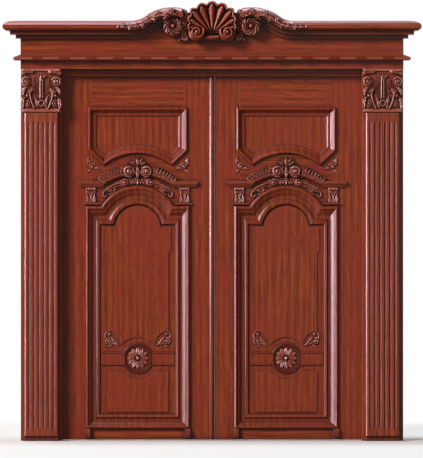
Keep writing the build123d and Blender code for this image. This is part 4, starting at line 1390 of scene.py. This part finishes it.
@dataclass
class LeafCarvings:
    """Carvings of one leaf, made about its middle line and copied to the other leaf."""

    hood_centre: float = 1162.0
    hood_outer: float = 385.0
    hood_inner: float = 363.0
    arch_window: Window = ((-246, 1392), (246, 1636))
    blades: int = 7
    blade_first: float = 12.0
    blade_step: float = 2.7
    berry_rows: int = 3
    crest_scroll: Point = (52.0, 1550.0)
    shelf_gap: Point = (1368.0, 1458.0)
    small_capital: float = 270.0
    small_capital_half: float = 31.0
    corner_scroll: Point = (264.0, 1582.0)
    spray_window: Window = ((100, 536), (198, 636))
    rosette: Point = (0.0, 474.0)
    rosette_radius: float = 60.0
    petals: int = 12
    belt: Point = (438.0, 505.0)
    belt_half: float = 209.0
    belt_margin: float = 6.0
    ring_radius: float = 85.0

    def on_arch(self, radius: float, angle: float) -> Point:
        """Point at an angle from the upright on a circle about the hood's centre."""
        turn = math.radians(angle)
        return radius * math.sin(turn), self.hood_centre + radius * math.cos(turn)

    def along_arch(self, radius: float, spread: float, count: int) -> Field:
        """Points of the hood's arc at a radius, as far to the left of its top as to the right."""
        return np.array([self.on_arch(radius, a) for a in np.linspace(-spread, spread, count)])

    def arch(self) -> Object:
        """Carve the ornament over and under the hood moulding.

        Returns:
            The ornament.
        """
        over, under = self.hood_outer, self.hood_inner
        vine = np.array([self.on_arch(over + 34 - 0.5 * a, a) for a in np.linspace(9, 29, 16)])
        hook = (
            (104, 1484), (140, 1473), (174, 1456), (198, 1430),
            (201, 1410), (188, 1403), (180, 1412),
        )
        vine_end, lower_curl = self.on_arch(over + 20, 32), self.on_arch(under - 30, 13)
        halves: list[Stroke] = [
            Scroll(self.crest_scroll, 37, 15, 24, hand=-1, start=150, turns=1.6, eye=0.3, base=26),
            Leaflet((10, 1594), (34, 1622), 22, 28, bow=5, base=6),
            Leaflet((16, 1586), (54, 1602), 20, 26, bow=6, base=6),
            Leaflet((12, 1548), (40, 1526), 18, 20, bow=5, base=20),
            Cord(vine, 9, 22, base=2),
            Scroll(vine_end, 19, 9, 22, hand=-1, start=150, turns=1.4, eye=0.3, base=2),
            Scroll(lower_curl, 26, 10, 20, hand=1, start=60, turns=1.4, eye=0.28, base=2),
            Cord(np.array(hook), 10, 18),
            Leaflet((112, 1468), (182, 1430), 30, 17, bow=8, lobes=3),
            Leaflet((128, 1452), (170, 1414), 22, 15, bow=-6, lobes=2),
            Scroll((152, 1440), 14, 7, 17, hand=-1, start=90, turns=1.2, base=4),
        ]
        for k in range(self.blades):
            angle = self.blade_first + self.blade_step * k
            foot = self.on_arch(over - 8, angle)
            tip = self.on_arch(over + 44 - 2.4 * k, angle + 4.4)
            curl = self.on_arch(over + 14 - k, angle + 1.6)
            halves += [
                Leaflet(foot, tip, 21, 24 - k, bow=-8, base=16),
                Scroll(curl, 9, 5, 14, hand=-1, start=90, turns=1.1, base=24 - k),
            ]
        for row in range(self.berry_rows):
            stagger = 0.5 * (row % 2) + 0.25 * (row == 0)
            for k in range(row + 1):
                halves.append(Knob(((k + stagger) * 15 + 2, 1512 - 13 * row), (7.5, 9), 15))
        middle: list[Stroke] = [
            Ground(self.along_arch(over + 18, 30, 40), 46, 8),
            Ground(self.along_arch(under - 26, 20, 30), 44, 5),
            Leaflet((0, 1514), (0, 1588), 24, 24, base=18),
            Leaflet((0, 1586), (0, 1632), 26, 30, base=6),
            Cord(bowed((0, 1520), (0, 1474), 0, 6), 9, 16),
        ]
        strokes = middle + mirrored(halves)
        return carve("left_arch_relief", self.arch_window, LEAF_FACE, strokes, spacing=2.0)

    def small_capitals(self) -> Object:
        """Carve the pair of little capitals between the shelves.

        Returns:
            The pair.
        """
        low, high = self.shelf_gap
        block = Block(low, high, 25, 30, 11)
        bar = Block(high - 16, high, 30, 30, 14)
        beads = [Knob(((k - 1.5) * 15, high - 8), (6.5, 6.5), 8, base=12) for k in range(4)]
        leaves = [
            Leaflet((4, low + 4), (22, low + 58), 17, 11, bow=-4, lobes=3, base=9),
            Leaflet((20, low + 2), (25, low + 34), 13, 10, base=9),
            Cord(bowed((2, low + 30), (14, low + 64), 2), 6, 9, base=9),
        ]
        stem = Leaflet((0, low + 2), (0, low + 66), 14, 11, lobes=2, base=9)
        one: list[Stroke] = [block, bar, *beads, *mirrored(leaves), stem]
        made = []
        for name, side in SIDES.items():
            centre, half = side * self.small_capital, self.small_capital_half
            window = (centre - half, low), (centre + half, high)
            placed = [Shifted(stroke, centre) for stroke in one]
            made.append(carve(f"{name}_little_capital", window, LEAF_FACE, placed, spacing=1.5))
        return joined("left_little_capitals", made)

    def corner_scrolls(self) -> Object:
        """Carve the pair of scrolls under the upper panel's clipped corners.

        Returns:
            The pair.
        """
        across, up = self.corner_scroll
        strokes = [
            Scroll((across, up), 24, 10, 15, hand=-1, start=200, turns=1.3, eye=0.28),
            Cord(bowed((across + 18, up + 8), (across + 16, up + 52), -8), 9, 13, thinning=0.4),
            Leaflet((across + 14, up + 18), (across + 30, up + 44), 16, 12, bow=4),
            Leaflet((across - 10, up - 16), (across - 46, up - 22), 17, 12, bow=-7, lobes=2),
            Leaflet((across - 16, up - 6), (across - 38, up - 2), 13, 10, bow=5),
            Leaflet((across + 8, up - 20), (across + 26, up - 36), 14, 11),
        ]
        window = ((across - 50, up - 40), (across + 34, up + 58))
        return carved_pair("left_corner_reliefs", window, LEAF_FACE, strokes, spacing=1.6)

    def panel_sprays(self) -> Object:
        """Carve the pair of leaf sprays in the lower corners of the arched field.

        Returns:
            The pair.
        """
        strokes = [
            Scroll((168, 572), 25, 9, 13, hand=-1, start=100, turns=1.5, eye=0.25),
            Leaflet((154, 560), (106, 546), 18, 12, bow=-6, lobes=2),
            Cord(np.array(((112, 550), (126, 564), (138, 582), (150, 594))), 9, 12),
            Leaflet((142, 586), (150, 562), 13, 10),
            Leaflet((150, 556), (178, 542), 14, 11, bow=-4, lobes=2),
            Cord(bowed((187, 592), (172, 626), -8), 9, 12, thinning=0.2),
            Scroll((165, 614), 13, 6, 12, hand=1, start=60, turns=1.2, eye=0.35),
        ]
        window = self.spray_window
        return carved_pair("left_panel_reliefs", window, PANEL_FACE, strokes, spacing=1.6)

    def flower(self) -> Object:
        """Carve the rosette in the ring of the lower panel.

        Returns:
            The rosette.
        """
        (across, up), reach = self.rosette, self.rosette_radius
        ground = arc(self.rosette, 0.5 * reach, 0, 360, 32)
        strokes: list[Stroke] = [Ground(ground, 0.9 * reach, 3)]
        for angle in np.arange(0, 2 * math.pi, 2 * math.pi / self.petals):
            outer, inner = (
                (across + share * reach * math.cos(angle), up + share * reach * math.sin(angle))
                for share in (1, 0.26)
            )
            strokes.append(Leaflet(outer, inner, 27, 13, base=2))
        strokes.append(Knob(self.rosette, (12, 12), 12, base=4))
        window = ((across - reach, up - reach), (across + reach, up + reach))
        return carve("left_flower", window, PANEL_FACE, strokes, spacing=1.5)

    def belt_beads(self) -> Object:
        """Carve the beads along both edges of the belt, that part round the rosette's ring.

        Returns:
            The two beads.
        """
        half, middle, ring = self.belt_half, self.rosette[1], self.ring_radius
        made = []
        for name, level, turn in (("upper", self.belt[1], 1), ("lower", self.belt[0], -1)):
            spread = math.degrees(math.asin(abs(level - middle) / ring))
            round_ring = arc(self.rosette, ring, turn * (180 - spread), turn * spread)
            bead = Cord(np.vstack(((-half, level), round_ring, (half, level))), 9, 6, base=4)
            far = middle + turn * (ring + self.belt_margin)
            low, high = sorted((level - self.belt_margin * turn, far))
            window = ((-half, low), (half, high))
            made.append(carve(f"{name}_belt_bead", window, PANEL_FACE, [bead], spacing=2.0))
        return joined("left_belt_beads", made)

    def make(self, finishes: Finishes) -> None:
        """Carve each ornament once, and set it and its copy on the two leaves.

        Args:
            finishes: Materials of the door.
        """
        carvings = {
            "arch_carving": self.arch(),
            "small_capitals": self.small_capitals(),
            "corner_scrolls": self.corner_scrolls(),
            "panel_sprays": self.panel_sprays(),
            "rosette": self.flower(),
        }
        for node, carving in carvings.items():
            for side, piece in set_apart(carving, LEAF_CENTRE).items():
                settle(piece, f"{side}_leaf", finishes.carved, f"{side}_{node}")
        for side, piece in set_apart(self.belt_beads(), LEAF_CENTRE).items():
            settle(piece, f"{side}_leaf", finishes.moulded)


class Gift(Enum):
    """What a lamp gives the door."""

    LIGHT = "light and highlights"
    GLOSS = "highlights on the lacquer"
    SHAPED_GLOSS = "highlights on mouldings, flutes and carvings"


@dataclass(frozen=True)
class Lamp:
    """Soft rectangular lamp, by its place and size in metres and its power in watts."""

    name: str
    place: tuple[float, float, float]
    size: Point
    power: float
    colour: str
    gift: Gift = Gift.LIGHT
    target: ClassVar[Vector] = Vector((0, 0, 1.25))

    def hang(self) -> Object:
        """Hang the lamp so that it looks at the middle of the door.

        Returns:
            The lamp.
        """
        data = bpy.data.lights.new(self.name, "AREA")
        data.shape = "RECTANGLE"
        data.size, data.size_y = self.size
        data.energy = self.power
        data.color = linear(self.colour)[:3]
        lamp = bpy.data.objects.new(self.name, data)
        lamp.location = self.place
        lamp.visible_diffuse = self.gift is Gift.LIGHT
        ahead = self.target - Vector(self.place)
        lamp.rotation_euler = ahead.to_track_quat("-Z", "Y").to_euler()
        bpy.context.scene.collection.objects.link(lamp)
        return lamp


@dataclass
class Studio:
    """Camera at the photograph's angle, soft light from the upper left and a pale floor."""

    pixel_mm: float = 5.75
    picture: tuple[int, int] = (423, 458)
    middle_column: float = 212.0
    floor_row: float = 441.0
    distance: float = 30.0
    sensor_mm: float = 36.0
    clip_end: float = 200.0
    lamps: Sequence[Lamp] = (
        Lamp("key", (-15.6, -16.8, 13.5), (6.8, 6.8), 7600.0, "#FFF6F0"),
        Lamp("left_strip", (-10.4, -1.8, 2.0), (6.0, 8.0), 320.0, "#E6E4FF"),
        Lamp("fill", (2.0, -9.0, 1.6), (3.0, 3.0), 45.0, "#FFF4EC"),
        Lamp("back_fill", (-6.0, 13.0, 7.0), (4.0, 4.0), 1100.0, "#FFF6F0"),
        Lamp("left_gloss", (-10.0, -2.8, 2.2), (4.8, 8.0), 15000.0, "#E2E6FA", Gift.SHAPED_GLOSS),
        Lamp("front_gloss", (-9.0, -9.0, 2.6), (4.0, 8.0), 4000.0, "#E6E6FF", Gift.SHAPED_GLOSS),
        Lamp("top_gloss", (-0.6, 0.75, 6.0), (5.0, 2.0), 800.0, "#EDE4FF", Gift.GLOSS),
    )
    # Words in the names of the nodes that have no shaped faces, or whose broad ones are flat
    boards: Sequence[str] = (
        "stile", "rail", "panel", "plate", "jamb", "casing",
        "frieze", "soffit", "header", "crown", "hinge", "seal",
    )
    room: str = "#F3EFF2"
    room_strength: float = 0.06
    floor_size: float = 30.0
    floor_shade: str = "#7A7876"
    floor_seen: str = "#F2F2F2"
    fade_range: Point = (1.3, 3.2)
    clear_range: Point = (0.1, 0.8)
    clear_share: float = 0.75

    def shaped_pieces(self) -> Collection:
        """Gather the mouldings, flutes and carvings, without boards, whose flat faces would glare.

        Returns:
            The collection.
        """
        nodes = frame["nodes"].items()
        boards = {node for name, node in nodes if any(word in name for word in self.boards)}
        shaped = bpy.data.collections.new("shaped_pieces")
        for piece in bpy.data.objects:
            if piece.type == "MESH" and piece not in boards:
                shaped.objects.link(piece)
        return shaped

    def camera(self) -> None:
        """Stand a long lens level with the middle of the picture."""
        pixel = self.pixel_mm * MM
        data = bpy.data.cameras.new("camera")
        data.sensor_width = self.sensor_mm
        data.lens = data.sensor_width * self.distance / (self.picture[1] * pixel)
        data.clip_end = self.clip_end
        camera = bpy.data.objects.new("camera", data)
        across = (self.picture[0] / 2 - self.middle_column) * pixel
        up = (self.floor_row - self.picture[1] / 2) * pixel
        camera.location = (across, -self.distance, up)
        camera.rotation_euler = (math.pi / 2, 0, 0)
        bpy.context.scene.collection.objects.link(camera)
        bpy.context.scene.camera = camera

    def looked_at(self, tree: NodeTree) -> NodeSocket:
        """Mark what the camera sees, also in a mirror or through glass.

        Args:
            tree: Node tree that gets the mark.

        Returns:
            The mark: 1 for what is seen, 0 for what only lights the door.
        """
        rays = add_node(tree, "ShaderNodeLightPath").outputs
        seen = rays["Is Camera Ray"]
        for kind in ("Is Glossy Ray", "Is Transmission Ray"):
            either = add_node(tree, "ShaderNodeMath", {0: seen, 1: rays[kind]}, operation="MAXIMUM")
            seen = either.outputs[0]
        return seen

    def light(self) -> None:
        """Hang the lamps and set the room's own light, white where the camera sees it."""
        shaped = self.shaped_pieces()
        for lamp in self.lamps:
            hung = lamp.hang()
            if lamp.gift is Gift.SHAPED_GLOSS:
                hung.light_linking.receiver_collection = shaped
        world = bpy.data.worlds.new("room")
        bpy.context.scene.world = world
        world.use_nodes = True
        tree = world.node_tree
        tree.nodes.clear()
        looked_at = self.looked_at(tree)
        around, seen = (
            add_node(tree, "ShaderNodeBackground", {"Color": colour, "Strength": power}).outputs[0]
            for colour, power in ((linear(self.room), self.room_strength), ((1, 1, 1, 1), 1.0))
        )
        mixed = add_node(tree, "ShaderNodeMixShader", {0: looked_at, 1: around, 2: seen})
        add_node(tree, "ShaderNodeOutputWorld", {"Surface": mixed.outputs[0]})

    def floor_material(self) -> Material:
        """Build the pale floor, that fades to white away from the door.

        Returns:
            The material.
        """
        # Matt paint: the door's shadow shows near its foot, and the rest melts into the backdrop
        material, tree = new_material("pale_floor")
        place = add_node(tree, "ShaderNodeTexCoord").outputs["Object"]
        reach = add_node(tree, "ShaderNodeVectorMath", {0: place}, operation="LENGTH")
        depth = add_node(tree, "ShaderNodeSeparateXYZ", {0: place})
        before = add_node(tree, "ShaderNodeMath", {0: depth.outputs["Y"]}, operation="ABSOLUTE")
        faded, cleared = (
            add_node(
                tree,
                "ShaderNodeMapRange",
                {"Value": value, "From Min": low, "From Max": high, "To Max": most},
            ).outputs[0]
            for value, (low, high), most in (
                (reach.outputs["Value"], self.fade_range, 1.0),
                (before.outputs[0], self.clear_range, self.clear_share),
            )
        )
        whiter = add_node(tree, "ShaderNodeMath", {0: faded, 1: cleared}, operation="MAXIMUM")
        seen = self.looked_at(tree)
        shown = {0: whiter.outputs[0], 1: seen}
        amount = add_node(tree, "ShaderNodeMath", shown, operation="MULTIPLY").outputs[0]
        tones = {"Factor": seen, 6: linear(self.floor_shade), 7: linear(self.floor_seen)}
        pale = add_node(tree, "ShaderNodeMix", tones, data_type="RGBA").outputs[2]
        matt = add_node(tree, "ShaderNodeBsdfDiffuse", {"Color": pale}).outputs[0]
        white = add_node(tree, "ShaderNodeEmission", {"Strength": 1.0}).outputs[0]
        mixed = add_node(tree, "ShaderNodeMixShader", {0: amount, 1: matt, 2: white})
        add_node(tree, "ShaderNodeOutputMaterial", {"Surface": mixed.outputs[0]})
        return material

    def floor(self) -> None:
        """Lay the floor."""
        bpy.ops.object.select_all(action="DESELECT")
        bpy.ops.mesh.primitive_plane_add(size=self.floor_size)
        floor = bpy.context.object
        floor.name = "studio_floor"
        floor.data.materials.append(self.floor_material())

    def set_up(self) -> None:
        """Build the whole studio."""
        bpy.context.scene.view_settings.view_transform = "Standard"
        self.camera()
        self.light()
        self.floor()


def main() -> None:
    """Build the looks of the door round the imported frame."""
    logging.basicConfig(level=logging.INFO, format="%(message)s")
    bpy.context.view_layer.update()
    finishes = Finishes()
    Joinery().dress(finishes)
    Crest().make(finishes)
    Capitals().make(finishes)
    LeafCarvings().make(finishes)
    Studio().set_up()


if __name__ == "__main__":
    main()
